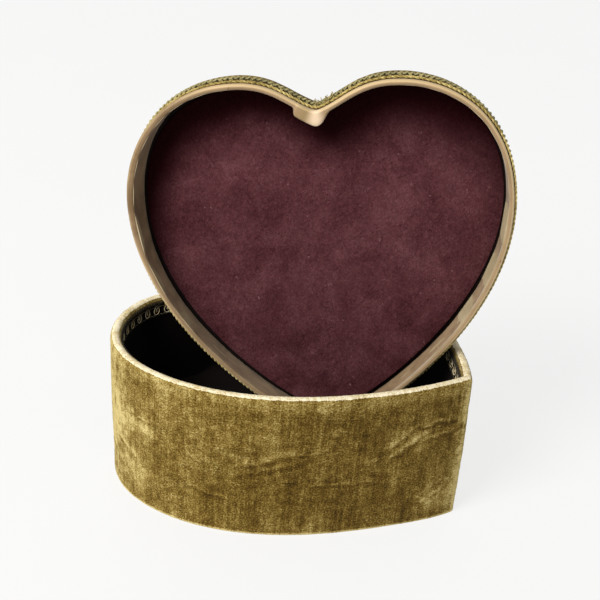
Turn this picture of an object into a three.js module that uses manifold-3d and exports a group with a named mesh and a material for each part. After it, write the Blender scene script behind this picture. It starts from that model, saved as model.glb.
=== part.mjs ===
// A heart-shaped wind-up music box: a velvet-covered box with a false floor, an 18-note movement
// below it, and a loose cap lid that stands in the open box. Millimetres, +Z up, the tip towards -Y.
import * as THREE from "three";
import { mergeVertices } from "three/addons/utils/BufferGeometryUtils.js";
import Module from "manifold-3d";

const wasm = await Module();
wasm.setup();

// ---------------------------------------------------------------- driving dimensions, mm

// Heart outline of the covered box, measured from its tip (v = 0) along its middle line (u = 0).
const heartWidth = 200;
const heartLength = 201;
const widestFromTip = 137;
const lobeTopFromMiddle = 41.7;
const cleftFromTip = 185;
const tipHalfAngle = THREE.MathUtils.degToRad(64);
const cleftHalfAngle = THREE.MathUtils.degToRad(69);
const tipHandle = 35;
const flankHandle = 67;
const shoulderHandle = 42;
const lobeOuterHandle = 31;
const lobeInnerHandle = 20;
const cleftHandle = 18;
const curveSteps = 7;
const seamClear = 1;

// Box wall, from the outside in, and the levels of its bottom.
const boxHeight = 91.5;
const bottomNarrowing = 5;
const glueLine = 0.2;
const velvetThickness = 1;
const wallThickness = 4;
const liningThickness = 0.6;
const turnUnderWidth = 8;
const turnUnderThickness = 0.6;
const turnOverDepth = 4;
const baseBoardThickness = 2;
const carrierThickness = 2;
const falseFloorThickness = 1.2;
const floorPaperThickness = 0.4;
const floorLedgeWidth = 3;
const gimpHeight = 10.5;
const gimpThickness = 2;
const gimpBelowRim = 1.4;
const soundHoleRadius = 2;
const soundHoleRing = 9;
const soundHoleCount = 6;
const soundHolesFromWell = 13.5;

// Key well in the underside.
const wellRadius = 23;
const wellWall = 1.6;
const wellHeight = 7.2;
const arborFromMiddle = -16;
const arborFromTip = 120;

// Cap lid, lying on its back: w = 0 at its open edge, the tray goes down to -w.
const lidClearance = 0.6;
const satinThickness = 0.3;
const lidWallThickness = 2;
const lidWallDepth = 18;
const lidBoardThickness = 2;
const panelThickness = 0.8;
const panelEdgeGap = 1.6;
const satinSkirt = 3;
const lidVelvetThickness = 0.8;
const lidGimpFromEdge = 3;
const lidGimpThickness = 2;
const padStepDepth = 2.2;
const padStepInset = 9;
const padSteps = 3;

// How the lid stands in the box: turned about the vertical, leaning back, leaning to its side.
const lidTurn = THREE.MathUtils.degToRad(-64.5);
const lidLean = THREE.MathUtils.degToRad(3.7);
const lidSideLean = THREE.MathUtils.degToRad(-6.8);
const restGap = 0.3;
const lidToWall = 3.2;
const lidStandFromMiddle = -23.7;
const lidStandFromTip = 73.3;
const standReach = 40;
const standTries = 21;
const standHalvings = 24;

// Movement: bedplate, with the winding arbor on its own origin and the cylinder along +X.
const bedLength = 57;
const bedWidth = 40;
const bedThickness = 1.5;
const bedCorner = 3;
const bedBehindArbor = 13;
const bedBesideArbor = 21;
const runningGap = 0.2;
const boreGap = 0.1;
const movementHeadroom = 0.3;

// Winding arbor, key and spring housing.
const arborRadius = 1.6;
const arborGrip = 5;
const housingRadius = 10;
const housingHeight = 9.9;
const housingWall = 0.7;
const capThickness = 0.7;
const springTurns = 4;
const springStrip = 0.35;
const springStepsPerTurn = 14;
const nutRadius = 3;
const nutHeight = 1.3;
const nutSides = 6;
const keyHubRadius = 3.2;
const keyHubLength = 6;
const keyHalfWidth = 11.5;
const keyBowHeight = 7.4;
const keyThickness = 1.6;
const keyEyeRadius = 1.8;
const keyAboveTable = 1.4;

// Gear train: great wheel (crown) - cylinder pinion, cylinder wheel - governor pinion, worm wheel - worm.
const greatTeeth = 40;
const pinionTeeth = 10;
const housingToCrown = 0.52;
const crownFace = 2;
const toothSeat = 0.15;
const greatWheelThickness = 1.2;
const wheelTeeth = 36;
const governorTeeth = 8;
const spurModule = 0.36;
const spurFace = 1.2;
const wormTeeth = 12;
const wormModule = 0.6;
const wormWheelFace = 1.4;
const wormRadius = 1.4;
const wormCoreRadius = 0.85;
const wormThreadRadius = 0.36;
const wormThreadSides = 6;
const wormCoreHalfLength = 3;
const wormWheelRoom = 1.2;
const wormTurns = 3;
const threadStepsPerTurn = 12;
const toothShare = 0.34;
const toothRootSpread = 1.3;
const toothTipSpread = 0.7;
const toothRise = 0.85;
const toothFall = 1.15;
const wormToothRise = 0.55;

// Cylinder with its pins, and the comb.
const cylinderAxisHeight = 9.5;
const cylinderRadius = 6;
const cylinderLength = 18.6;
const cylinderArborRadius = 1;
const pinLength = 0.5;
const pinRoot = 1;
const pinAngleStep = 2.4;
const pinWidth = 0.4;
const pinCount = 36;
const combTeeth = 18;
const combSlot = 0.35;
const combThickness = 1;
const combToothLength = 9;
const combRootLength = 4.6;
const combTipGap = 0.3;
const combScrewRadius = 0.9;
const combScrewHead = 1.8;
const combScrewHeadHeight = 1.1;
const combScrewFromEnd = 3.7;
const combThreadShare = 2 / 3;

// Bearing plates, governor, fan and stop lever.
const bearingThickness = 1;
const bearingWidth = 8;
const bearingFoot = 4.5;
const footThickness = 0.8;
const bearingAboveAxis = 2.4;
const endPlay = 0.4;
const governorArborRadius = 0.7;
const wormShaftRadius = 0.6;
const collarRadius = 1.6;
const collarHeight = 1;
const collarAboveBed = 3.9;
const fanRadius = 4.2;
const fanBladeHeight = 2.2;
const fanBladeThickness = 0.5;
const fanHubRadius = 1.3;
const stopPivotX = 15.5;
const stopPivotY = 11;
const stopPinRadius = 1.2;
const stopArmWidth = 2;
const stopArmThickness = 0.8;
const stopTabLength = 7;
const stopTabWidth = 3.4;
const stopTabThickness = 1.5;
const stopTabDrop = 4;

// Roundness of small and large circles, how far a cutting tool reaches past what it cuts, and the
// distance under which two corners are one.
const sidesAtLeast = 8;
const sidesPerRootOfRadius = 6.4;
const overshoot = 1;
const weldDistance = 1e-4;

// Screws that hold the movement to its board.
const screwRadius = 1.1;
const screwHeadRadius = 2.6;
const screwHeadHeight = 1.5;
const screwFromBedEdge = 4;

// ---------------------------------------------------------------- levels and offsets that follow

const baseBoardBottom = turnUnderThickness + glueLine;
const wellBottom = baseBoardBottom + baseBoardThickness + glueLine;
const carrierBottom = wellBottom + wellHeight + glueLine;
const bedBottom = carrierBottom + carrierThickness + glueLine;
const movementHeight = cylinderAxisHeight + cylinderRadius + pinLength + movementHeadroom;
const falseFloorBottom = bedBottom + movementHeight + glueLine;
const floorPaperBottom = falseFloorBottom + falseFloorThickness + glueLine;
const floorTop = floorPaperBottom + floorPaperThickness;

const wallOuter = -(velvetThickness + glueLine);
const wallInner = wallOuter - wallThickness;
const liningOuter = wallInner - glueLine;
const liningInner = liningOuter - liningThickness;
const gimpOuter = liningInner - glueLine;
const gimpInner = gimpOuter - gimpThickness;
const gimpTop = boxHeight - gimpBelowRim;
const gimpBottom = gimpTop - gimpHeight;
const boardEdge = wallInner - glueLine;

const lidInner = lidClearance;
const lidWallInner = lidInner + satinThickness + glueLine;
const lidWallOuter = lidWallInner + lidWallThickness;
const lidOuter = lidWallOuter + glueLine + satinThickness;
const lidVelvetInner = lidWallOuter + glueLine;
const lidVelvetOuter = lidVelvetInner + lidVelvetThickness;
const lidGimpInner = lidVelvetOuter + glueLine;
const lidGimpOuter = lidGimpInner + lidGimpThickness;
const lidWallTop = -(satinThickness + glueLine);
const lidBack = lidWallTop - lidWallDepth;
const lidBoardFront = lidBack + lidBoardThickness;
const panelFront = lidBoardFront + glueLine + panelThickness;
const padFront = lidBack - glueLine;

// ---------------------------------------------------------------- materials

function finish(color, roughness, metalness = 0) {
  return () => new THREE.MeshStandardMaterial({ color, roughness, metalness });
}
const velvet = finish(0x7d6a35, 0.95);
const card = finish(0xb9a27c, 0.9);
const paper = finish(0x3b2426, 0.85);
const kraft = finish(0xcabb9a, 0.9);
const satin = finish(0xc2a97a, 0.5);
const gimp = finish(0x8c7a48, 0.8);
const leatherette = finish(0x532f35, 0.6);
const wadding = finish(0xe8e2d2, 1);
const steel = finish(0x9a9c9e, 0.35, 1);
const brass = finish(0xc6a14a, 0.35, 1);
const plated = finish(0xc9c6bd, 0.25, 1);

// ---------------------------------------------------------------- geometry helpers

function solidOf(geometry) {
  const bare = geometry.index ? geometry.toNonIndexed() : geometry.clone();
  bare.deleteAttribute("normal");
  bare.deleteAttribute("uv");
  const merged = mergeVertices(bare, weldDistance);
  const vertProperties = merged.attributes.position.array;
  const triVerts = new Uint32Array(merged.index.array);
  return new wasm.Manifold(new wasm.Mesh({ numProp: 3, vertProperties, triVerts }));
}

function geometryOf(solid) {
  const made = solid.getMesh();
  const geometry = new THREE.BufferGeometry();
  geometry.setAttribute("position", new THREE.BufferAttribute(made.vertProperties, 3));
  geometry.setIndex(new THREE.BufferAttribute(made.triVerts, 1));
  geometry.computeVertexNormals();
  return geometry;
}

function join(first, ...others) {
  const joined = others.reduce((all, next) => all.add(solidOf(next)), solidOf(first));
  return geometryOf(joined);
}

function cut(body, ...tools) {
  const left = tools.reduce((all, next) => all.subtract(solidOf(next)), solidOf(body));
  return geometryOf(left);
}

function addMesh(parent, name, geometry, material) {
  const mesh = new THREE.Mesh(geometry, material());
  mesh.name = name;
  parent.add(mesh);
  return mesh;
}

// A flat plate of an outline between two levels, with holes.
function plate(outline, bottom, top, ...holes) {
  const shape = new THREE.Shape(outline);
  shape.holes = holes.map((hole) => new THREE.Path(hole));
  const depth = top - bottom;
  return new THREE.ExtrudeGeometry(shape, { depth, bevelEnabled: false }).translate(0, 0, bottom);
}

function sidesFor(radius) {
  return 4 * Math.round((sidesAtLeast + sidesPerRootOfRadius * Math.sqrt(radius)) / 4);
}

function circle(radius, x = 0, y = 0, sides = sidesFor(radius)) {
  const points = [];
  for (let i = 0; i < sides; i += 1) {
    const angle = (2 * Math.PI * i) / sides;
    points.push(new THREE.Vector2(x + radius * Math.cos(angle), y + radius * Math.sin(angle)));
  }
  return points;
}

function block(x0, x1, y0, y1, z0, z1) {
  const size = new THREE.BoxGeometry(x1 - x0, y1 - y0, z1 - z0);
  return size.translate((x0 + x1) / 2, (y0 + y1) / 2, (z0 + z1) / 2);
}

// A rod along Z from one level to another.
function rod(radius, z0, z1, x = 0, y = 0) {
  const shaft = new THREE.CylinderGeometry(radius, radius, z1 - z0, sidesFor(radius));
  return shaft.rotateX(Math.PI / 2).translate(x, y, (z0 + z1) / 2);
}

// Turns a shape made along Z so that it lies along X, on an axis at y and z.
function alongX(geometry, y, z) {
  return geometry.rotateY(Math.PI / 2).translate(0, y, z);
}

// ---------------------------------------------------------------- the heart outline

function halfHeart() {
  const tip = new THREE.Vector2(0, 0);
  const widest = new THREE.Vector2(heartWidth / 2, widestFromTip);
  const lobeTop = new THREE.Vector2(lobeTopFromMiddle, heartLength);
  const cleft = new THREE.Vector2(0, cleftFromTip);
  const fromTip = new THREE.Vector2(Math.sin(tipHalfAngle), Math.cos(tipHalfAngle));
  const fromCleft = new THREE.Vector2(Math.sin(cleftHalfAngle), Math.cos(cleftHalfAngle));
  const flank = new THREE.CubicBezierCurve(
    tip,
    tip.clone().addScaledVector(fromTip, tipHandle),
    new THREE.Vector2(widest.x, widest.y - flankHandle),
    widest,
  );
  const shoulder = new THREE.CubicBezierCurve(
    widest,
    new THREE.Vector2(widest.x, widest.y + shoulderHandle),
    new THREE.Vector2(lobeTop.x + lobeOuterHandle, lobeTop.y),
    lobeTop,
  );
  const lobe = new THREE.CubicBezierCurve(
    lobeTop,
    new THREE.Vector2(lobeTop.x - lobeInnerHandle, lobeTop.y),
    cleft.clone().addScaledVector(fromCleft, cleftHandle),
    cleft,
  );
  return [flank, shoulder, lobe];
}

// The outline moved outwards by grow (inwards if negative), with mitred corners at tip and cleft.
function heart(grow) {
  const right = [new THREE.Vector2(0, -grow / Math.sin(tipHalfAngle))];
  const cleftCorner = new THREE.Vector2(0, cleftFromTip + grow / Math.sin(cleftHalfAngle));
  for (const [part, curve] of halfHeart().entries()) {
    for (let step = part === 0 ? 1 : 0; step < curveSteps; step += 1) {
      const at = step / curveSteps;
      const tangent = curve.getTangent(at);
      const outward = new THREE.Vector2(tangent.y, -tangent.x);
      right.push(curve.getPoint(at).addScaledVector(outward, grow));
    }
  }
  const kept = right.filter((point, i) => i === 0 || point.x > seamClear);
  const left = kept.slice(1).reverse().map((point) => new THREE.Vector2(-point.x, point.y));
  return [...kept, cleftCorner, ...left];
}

// How much narrower than its top the box is at a level: the walls flare evenly from the bottom up.
function narrowing(level) {
  return 1 - (bottomNarrowing / heartWidth) * (1 - level / boxHeight);
}

function narrowed(geometry) {
  const place = geometry.attributes.position;
  for (let i = 0; i < place.count; i += 1) {
    const share = narrowing(place.getZ(i));
    place.setX(i, place.getX(i) * share);
    place.setY(i, widestFromTip + (place.getY(i) - widestFromTip) * share);
  }
  return geometry;
}

// The outline that a flat board has at its level between the flaring walls.
function heartAt(grow, level) {
  const middle = new THREE.Vector2(0, widestFromTip);
  return heart(grow).map((point) => point.sub(middle).multiplyScalar(narrowing(level)).add(middle));
}

function boxBoard(grow, bottom, top, ...holes) {
  return plate(heartAt(grow, bottom), bottom, top, ...holes);
}

function boxBand(outer, inner, bottom, top) {
  return narrowed(heartBand(outer, inner, bottom, top));
}

function heartPlate(grow, bottom, top, ...holes) {
  return plate(heart(grow), bottom, top, ...holes);
}

function heartBand(outer, inner, bottom, top) {
  return plate(heart(outer), bottom, top, heart(inner));
}

// ---------------------------------------------------------------- the box

const box = new THREE.Group();
box.position.y = -heartLength / 2;

function velvetCover() {
  const skin = heartBand(0, -velvetThickness, baseBoardBottom, boxHeight);
  const overRim = heartBand(0, liningOuter, boxHeight - velvetThickness, boxHeight);
  const inside = heartBand(liningOuter, liningInner, boxHeight - turnOverDepth, boxHeight);
  return narrowed(join(skin, overRim, inside));
}

function arborPlace() {
  return new THREE.Vector2(arborFromMiddle, arborFromTip);
}

function wellHole(radius) {
  const { x, y } = arborPlace();
  return circle(radius, x, y);
}

// Small round holes through the base board that let the sound out, in a ring beside the well.
function soundHoles() {
  const holes = [];
  const middle = new THREE.Vector2(wellRadius + soundHolesFromWell, arborFromTip);
  for (let i = 0; i < soundHoleCount; i += 1) {
    const angle = (2 * Math.PI * i) / soundHoleCount;
    const x = middle.x + soundHoleRing * Math.cos(angle);
    const y = middle.y + soundHoleRing * Math.sin(angle);
    holes.push(circle(soundHoleRadius, x, y));
  }
  return holes;
}

function addBox() {
  const wallTop = boxHeight - velvetThickness - glueLine;
  const liningTop = boxHeight - turnOverDepth - glueLine;
  const carrierHoles = movementHolesInCarrier();
  const paperEdge = -(turnUnderWidth + glueLine);
  const wellTop = wellBottom + wellHeight;
  const wellBand = plate(wellHole(wellRadius + wellWall), wellBottom, wellTop, wellHole(wellRadius));
  addMesh(box, "wall_velvet", velvetCover(), velvet);
  addMesh(box, "velvet_hem", boxBand(0, -turnUnderWidth, 0, turnUnderThickness), velvet);
  addMesh(box, "wall_card", boxBand(wallOuter, wallInner, baseBoardBottom, wallTop), card);
  addMesh(box, "wall_lining", boxBand(liningOuter, liningInner, floorTop + glueLine, liningTop), paper);
  addMesh(box, "inner_gimp", boxBand(gimpOuter, gimpInner, gimpBottom, gimpTop), gimp);
  const openBase = [wellHole(wellRadius), ...soundHoles()];
  addMesh(box, "underside_paper", boxBoard(paperEdge, 0, turnUnderThickness, ...openBase), kraft);
  const baseTop = baseBoardBottom + baseBoardThickness;
  addMesh(box, "base_board", boxBoard(boardEdge, baseBoardBottom, baseTop, ...openBase), card);
  addMesh(box, "key_well", wellBand, kraft);
  const carrierTop = carrierBottom + carrierThickness;
  addMesh(box, "carrier_board", boxBoard(boardEdge, carrierBottom, carrierTop, ...carrierHoles), card);
  const spacer = boxBand(boardEdge, boardEdge - floorLedgeWidth, wellBottom, carrierBottom - glueLine);
  addMesh(box, "base_spacer", spacer, card);
  const ledgeBottom = carrierTop + glueLine;
  const ledge = boxBand(boardEdge, boardEdge - floorLedgeWidth, ledgeBottom, falseFloorBottom - glueLine);
  addMesh(box, "floor_ledge", ledge, card);
  const falseFloorTop = falseFloorBottom + falseFloorThickness;
  addMesh(box, "false_floor", boxBoard(boardEdge, falseFloorBottom, falseFloorTop), card);
  addMesh(box, "floor_paper", boxBoard(boardEdge, floorPaperBottom, floorTop), paper);
}

// ---------------------------------------------------------------- the lid

function satinBinding() {
  const front = heartBand(lidOuter, lidInner, -satinThickness, 0);
  const inside = heartBand(lidInner + satinThickness, lidInner, lidBoardFront + glueLine, 0);
  const skirt = heartBand(lidOuter, lidOuter - satinThickness, -satinSkirt, 0);
  return join(front, inside, skirt);
}

// The level that each step of the padded top's velvet reaches down to.
function crownLevel(step) {
  return padFront - (step + 1) * padStepDepth - glueLine - lidVelvetThickness;
}

// The stepped crown of the padded top: each step is set in further than the one before.
function crown(firstOutline, firstDepth, top) {
  const steps = [heartPlate(firstOutline, top - firstDepth, top)];
  for (let step = 1; step < padSteps; step += 1) {
    const bottom = top - firstDepth - step * padStepDepth;
    steps.push(heartPlate(firstOutline - step * padStepInset, bottom, top));
  }
  return join(...steps);
}

function lidVelvetCover() {
  const side = heartBand(lidVelvetOuter, lidVelvetInner, padFront, -(satinSkirt + glueLine));
  const outside = crown(lidVelvetOuter, padFront - crownLevel(0), padFront);
  const roof = padFront + 2 * glueLine;
  const hollow = crown(lidVelvetInner, roof - crownLevel(0) - lidVelvetThickness, roof);
  return join(cut(outside, hollow), side);
}

function addLid(lid) {
  addMesh(lid, "lid_satin", satinBinding(), satin);
  addMesh(lid, "lid_wall_card", heartBand(lidWallOuter, lidWallInner, lidBack, lidWallTop), card);
  const board = heartPlate(lidWallInner - glueLine, lidBack, lidBoardFront);
  addMesh(lid, "lid_board", board, card);
  const panelOutline = lidInner - panelEdgeGap;
  addMesh(lid, "lid_panel", heartPlate(panelOutline, lidBoardFront + glueLine, panelFront), leatherette);
  const padOutline = lidWallOuter - glueLine;
  const pad = crown(padOutline, padStepDepth, padFront);
  addMesh(lid, "lid_wadding", pad, wadding);
  addMesh(lid, "lid_velvet", lidVelvetCover(), velvet);
  const braid = heartBand(lidGimpOuter, lidGimpInner, -(lidGimpFromEdge + gimpHeight), -lidGimpFromEdge);
  addMesh(lid, "lid_gimp", braid, gimp);
}

// The lid's outer edges that can touch the box, as rings of points in the lid's own frame.
function lidRings() {
  const outlines = [
    [lidOuter, 0],
    [lidGimpOuter, -lidGimpFromEdge],
    [lidGimpOuter, -(lidGimpFromEdge + gimpHeight)],
  ];
  for (let step = 0; step < padSteps; step += 1) {
    outlines.push([lidVelvetOuter - step * padStepInset, crownLevel(step)]);
  }
  return outlines.map(([grow, w]) => heart(grow).map((point) => new THREE.Vector3(point.x, point.y, w)));
}

// How far a point lies inside an outline; negative outside it.
function depthInside(point, outline) {
  let nearest = Infinity;
  let inside = false;
  const closest = new THREE.Vector2();
  for (let i = 0; i < outline.length; i += 1) {
    const from = outline[i];
    const to = outline[(i + 1) % outline.length];
    const along = to.clone().sub(from);
    const share = point.clone().sub(from).dot(along) / along.lengthSq();
    closest.copy(from).addScaledVector(along, Math.min(1, Math.max(0, share)));
    nearest = Math.min(nearest, closest.distanceTo(point));
    const crosses = from.y > point.y !== to.y > point.y;
    if (crosses && point.x < from.x + ((point.y - from.y) * along.x) / along.y) inside = !inside;
  }
  return inside ? nearest : -nearest;
}

// The points where a ring passes through a level.
function crossings(ring, level) {
  const found = [];
  ring.forEach((from, i) => {
    const to = ring[(i + 1) % ring.length];
    if (from.z > level === to.z > level) return;
    found.push(from.clone().lerp(to, (level - from.z) / (to.z - from.z)));
  });
  return found;
}

// The least room between the standing lid's rings and the box's inner walls.
function roomForLid(rings) {
  const zones = [
    [gimpBottom, boxHeight, heart(gimpInner)],
    [floorTop, gimpBottom, heart(liningInner)],
  ];
  let least = Infinity;
  const middle = new THREE.Vector2(0, widestFromTip);
  for (const [low, high, outline] of zones) {
    for (const ring of rings) {
      const within = ring.filter((point) => point.z >= low && point.z <= high);
      for (const point of [...within, ...crossings(ring, low), ...crossings(ring, high)]) {
        const flat = new THREE.Vector2(point.x, point.y).sub(middle);
        const atRim = flat.divideScalar(narrowing(point.z)).add(middle);
        least = Math.min(least, depthInside(atRim, outline));
      }
    }
  }
  return least;
}

// Stands the lid on the floor paper, and slides it back from where it has most room until its edge
// comes as near to the wall as lidToWall.
function standLid(lid, turned) {
  const rings = lidRings().map((ring) => ring.map((point) => point.applyMatrix4(turned)));
  const lowest = Math.min(...rings.flat().map((point) => point.z));
  const start = new THREE.Vector3(lidStandFromMiddle, lidStandFromTip, floorTop + restGap - lowest);
  const back = new THREE.Vector3(-Math.sin(lidTurn), Math.cos(lidTurn), 0);
  const placeAt = (slide) => start.clone().addScaledVector(back, slide);
  const roomAt = (slide) => {
    const place = placeAt(slide);
    return roomForLid(rings.map((ring) => ring.map((point) => point.clone().add(place))));
  };
  const stride = (2 * standReach) / (standTries - 1);
  const tries = Array.from({ length: standTries }, (_, i) => i * stride - standReach);
  let free = tries.reduce((best, slide) => (roomAt(slide) > roomAt(best) ? slide : best));
  let tight = free + standReach;
  for (let i = 0; i < standHalvings; i += 1) {
    const slide = (free + tight) / 2;
    if (roomAt(slide) > lidToWall) free = slide;
    else tight = slide;
  }
  lid.position.copy(placeAt(free));
}

function standingLid() {
  const place = new THREE.Group();
  const turn = new THREE.Group();
  const lean = new THREE.Group();
  const side = new THREE.Group();
  const lying = new THREE.Group();
  place.add(turn);
  turn.add(lean);
  lean.add(side);
  side.add(lying);
  turn.rotation.z = lidTurn;
  lean.rotation.x = -lidLean;
  side.rotation.y = lidSideLean;
  lying.rotation.x = Math.PI / 2;
  place.updateMatrixWorld(true);
  standLid(place, lying.matrixWorld);
  addLid(lying);
  return place;
}

// ---------------------------------------------------------------- the movement

const movement = new THREE.Group();
movement.position.set(arborPlace().x, arborPlace().y, bedBottom);

const bedTop = bedThickness;
const standTop = bedTop + glueLine;
const cylinderReach = cylinderRadius + pinLength;
const crownPitchRadius = housingRadius + housingToCrown + crownFace / 2;
const crownModule = (2 * crownPitchRadius) / greatTeeth;
const pinionPitchRadius = (pinionTeeth * crownModule) / 2;
const crownOuter = crownPitchRadius + crownFace / 2;
const crownInner = crownPitchRadius - crownFace / 2;
const crownPitchLevel = cylinderAxisHeight + pinionPitchRadius;
const crownDisc = crownPitchLevel + toothFall * crownModule;
const crownTips = crownPitchLevel - toothRise * crownModule;
const crownTop = crownDisc + greatWheelThickness;
const leftBearing = crownOuter + toothSeat + endPlay;
const cylinderStart = leftBearing + bearingThickness + endPlay;
const cylinderEnd = cylinderStart + cylinderLength;
const wheelStart = cylinderEnd + endPlay;
const wheelEnd = wheelStart + spurFace;
const rightBearing = wheelEnd + endPlay;
const rightBearingEnd = rightBearing + bearingThickness;
const wheelPitchRadius = (wheelTeeth * spurModule) / 2;
const leafPitchRadius = (governorTeeth * spurModule) / 2;
const governorY = wheelPitchRadius + leafPitchRadius;
const wormWheelPitchRadius = (wormTeeth * wormModule) / 2;
const wormWheelStart = rightBearingEnd + wormWheelRoom;
const wormWheelEnd = wormWheelStart + wormWheelFace;
const wormX = (wormWheelStart + wormWheelEnd) / 2;
const wormY = governorY + wormWheelPitchRadius + wormRadius;
const outerLug = wormWheelEnd + wormWheelRoom;
const wormPitch = Math.PI * wormModule;
const combTipY = -(cylinderReach + combTipGap);
const combRootY = combTipY - combToothLength;
const combEndY = combRootY - combRootLength;
const combTop = cylinderAxisHeight + combThickness / 2;
const combBottom = cylinderAxisHeight - combThickness / 2;
const collarBottom = bedTop + collarAboveBed;
const bedLeft = -bedBehindArbor;
const bedRight = bedLeft + bedLength;
const bedFront = -bedBesideArbor;
const bedBack = bedFront + bedWidth;

function screwPlaces() {
  return [
    [bedLeft + screwFromBedEdge, bedFront + screwFromBedEdge],
    [bedLeft + screwFromBedEdge, bedBack - screwFromBedEdge],
    [bedRight - screwFromBedEdge, bedFront + screwFromBedEdge],
  ];
}

function movementHolesInCarrier() {
  const { x, y } = arborPlace();
  const holes = [circle(arborRadius + 3 * runningGap, x, y)];
  holes.push(circle(stopPinRadius + boreGap, x + stopPivotX, y + stopPivotY));
  for (const [screwX, screwY] of screwPlaces()) {
    holes.push(circle(screwRadius + boreGap, x + screwX, y + screwY));
  }
  return holes;
}

function addBedplate() {
  const outline = new THREE.Shape();
  outline.moveTo(bedLeft + bedCorner, bedFront);
  outline.lineTo(bedRight - bedCorner, bedFront);
  outline.absarc(bedRight - bedCorner, bedFront + bedCorner, bedCorner, -Math.PI / 2, 0);
  outline.absarc(bedRight - bedCorner, bedBack - bedCorner, bedCorner, 0, Math.PI / 2);
  outline.absarc(bedLeft + bedCorner, bedBack - bedCorner, bedCorner, Math.PI / 2, Math.PI);
  outline.absarc(bedLeft + bedCorner, bedFront + bedCorner, bedCorner, Math.PI, 1.5 * Math.PI);
  const holes = [circle(arborRadius + boreGap)];
  holes.push(circle(stopPinRadius + boreGap, stopPivotX, stopPivotY));
  holes.push(circle(wormShaftRadius + boreGap, wormX, wormY));
  for (const [x, y] of screwPlaces()) holes.push(circle(screwRadius + boreGap, x, y));
  outline.holes = holes.map((hole) => new THREE.Path(hole));
  const settings = { depth: bedThickness, bevelEnabled: false, curveSegments: 4 };
  addMesh(movement, "bedplate", new THREE.ExtrudeGeometry(outline, settings), plated);
}

function addScrews() {
  const headTop = -(carrierThickness + 2 * glueLine);
  screwPlaces().forEach(([x, y], i) => {
    const shank = rod(screwRadius, headTop - screwHeadHeight / 2, bedTop, x, y);
    const head = rod(screwHeadRadius, headTop - screwHeadHeight, headTop, x, y);
    addMesh(movement, `mounting_screw_${i + 1}`, join(head, shank), steel);
  });
}

// ---- spring housing, mainspring, arbor and key

function addHousing() {
  const wallTop = standTop + housingHeight;
  const boreRadius = arborRadius + boreGap;
  const profile = [
    new THREE.Vector2(boreRadius, standTop),
    new THREE.Vector2(housingRadius, standTop),
    new THREE.Vector2(housingRadius, wallTop),
    new THREE.Vector2(housingRadius - housingWall, wallTop),
    new THREE.Vector2(housingRadius - housingWall, standTop + housingWall),
    new THREE.Vector2(boreRadius, standTop + housingWall),
    new THREE.Vector2(boreRadius, standTop),
  ];
  const cup = new THREE.LatheGeometry(profile, sidesFor(housingRadius)).rotateX(Math.PI / 2);
  addMesh(movement, "spring_housing", cup, brass);
  const capBottom = wallTop + glueLine;
  const capTop = capBottom + capThickness;
  const cap = plate(circle(housingRadius), capBottom, capTop, circle(boreRadius));
  addMesh(movement, "housing_cap", cap, brass);
}

// A flat spiral strip from just outside the arbor to just inside the housing wall.
function addMainspring() {
  const first = arborRadius + 2 * runningGap;
  const last = housingRadius - housingWall - runningGap - springStrip;
  const steps = springTurns * springStepsPerTurn;
  const edge = (offset) => {
    const points = [];
    for (let i = 0; i <= steps; i += 1) {
      const angle = (2 * Math.PI * springTurns * i) / steps;
      const radius = first + ((last - first) * i) / steps + offset;
      points.push(new THREE.Vector2(radius * Math.cos(angle), radius * Math.sin(angle)));
    }
    return points;
  };
  const outline = [...edge(springStrip), ...edge(0).reverse()];
  const bottom = standTop + housingWall + glueLine;
  const top = standTop + housingHeight - glueLine;
  addMesh(movement, "mainspring", plate(outline, bottom, top), steel);
}

const keyBottom = keyAboveTable - bedBottom;
const keyHubTop = -(carrierThickness + glueLine + endPlay);
const arborTop = crownTop + runningGap + nutHeight;

function addKey() {
  const gripBottom = keyHubTop - arborGrip;
  addMesh(movement, "winding_arbor", rod(arborRadius, gripBottom + glueLine, arborTop), steel);
  const bow = new THREE.Shape();
  const lobe = keyBowHeight / 2;
  bow.absarc(keyHalfWidth - lobe, lobe, lobe, -Math.PI / 2, Math.PI / 2);
  bow.absarc(-(keyHalfWidth - lobe), lobe, lobe, Math.PI / 2, 1.5 * Math.PI);
  const eyes = [-1, 1].map((side) => circle(keyEyeRadius, side * (keyHalfWidth - lobe), lobe));
  bow.holes = eyes.map((eye) => new THREE.Path(eye));
  const settings = { depth: keyThickness, bevelEnabled: false, curveSegments: 8 };
  const wings = new THREE.ExtrudeGeometry(bow, settings).translate(0, 0, -keyThickness / 2);
  wings.rotateX(Math.PI / 2).translate(0, 0, keyBottom);
  const hub = rod(keyHubRadius, keyHubTop - keyHubLength, keyHubTop);
  const bore = rod(arborRadius + boreGap, gripBottom, keyHubTop + overshoot);
  addMesh(movement, "winding_key", cut(join(wings, hub), bore), plated);
  const nutOutline = circle(nutRadius, 0, 0, nutSides);
  const nut = plate(nutOutline, crownTop + runningGap, arborTop, circle(arborRadius + glueLine));
  addMesh(movement, "arbor_nut", nut, steel);
}

// ---- gears

// A gear outline with straight tapering teeth about its pitch circle.
function gearOutline(teeth, module, root, tip, firstAt = 0) {
  const pitchRadius = (teeth * module) / 2;
  const half = (toothShare * Math.PI * module) / pitchRadius / 2;
  const points = [];
  for (let i = 0; i < teeth; i += 1) {
    const middle = firstAt + (2 * Math.PI * i) / teeth;
    const corners = [
      [root, -toothRootSpread],
      [tip, -toothTipSpread],
      [tip, toothTipSpread],
      [root, toothRootSpread],
    ];
    for (const [radius, spread] of corners) {
      const angle = middle + spread * half;
      points.push(new THREE.Vector2(radius * Math.cos(angle), radius * Math.sin(angle)));
    }
  }
  return points;
}

function gearSizes(teeth, module) {
  const pitchRadius = (teeth * module) / 2;
  return [pitchRadius - toothFall * module, pitchRadius + toothRise * module];
}

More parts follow.
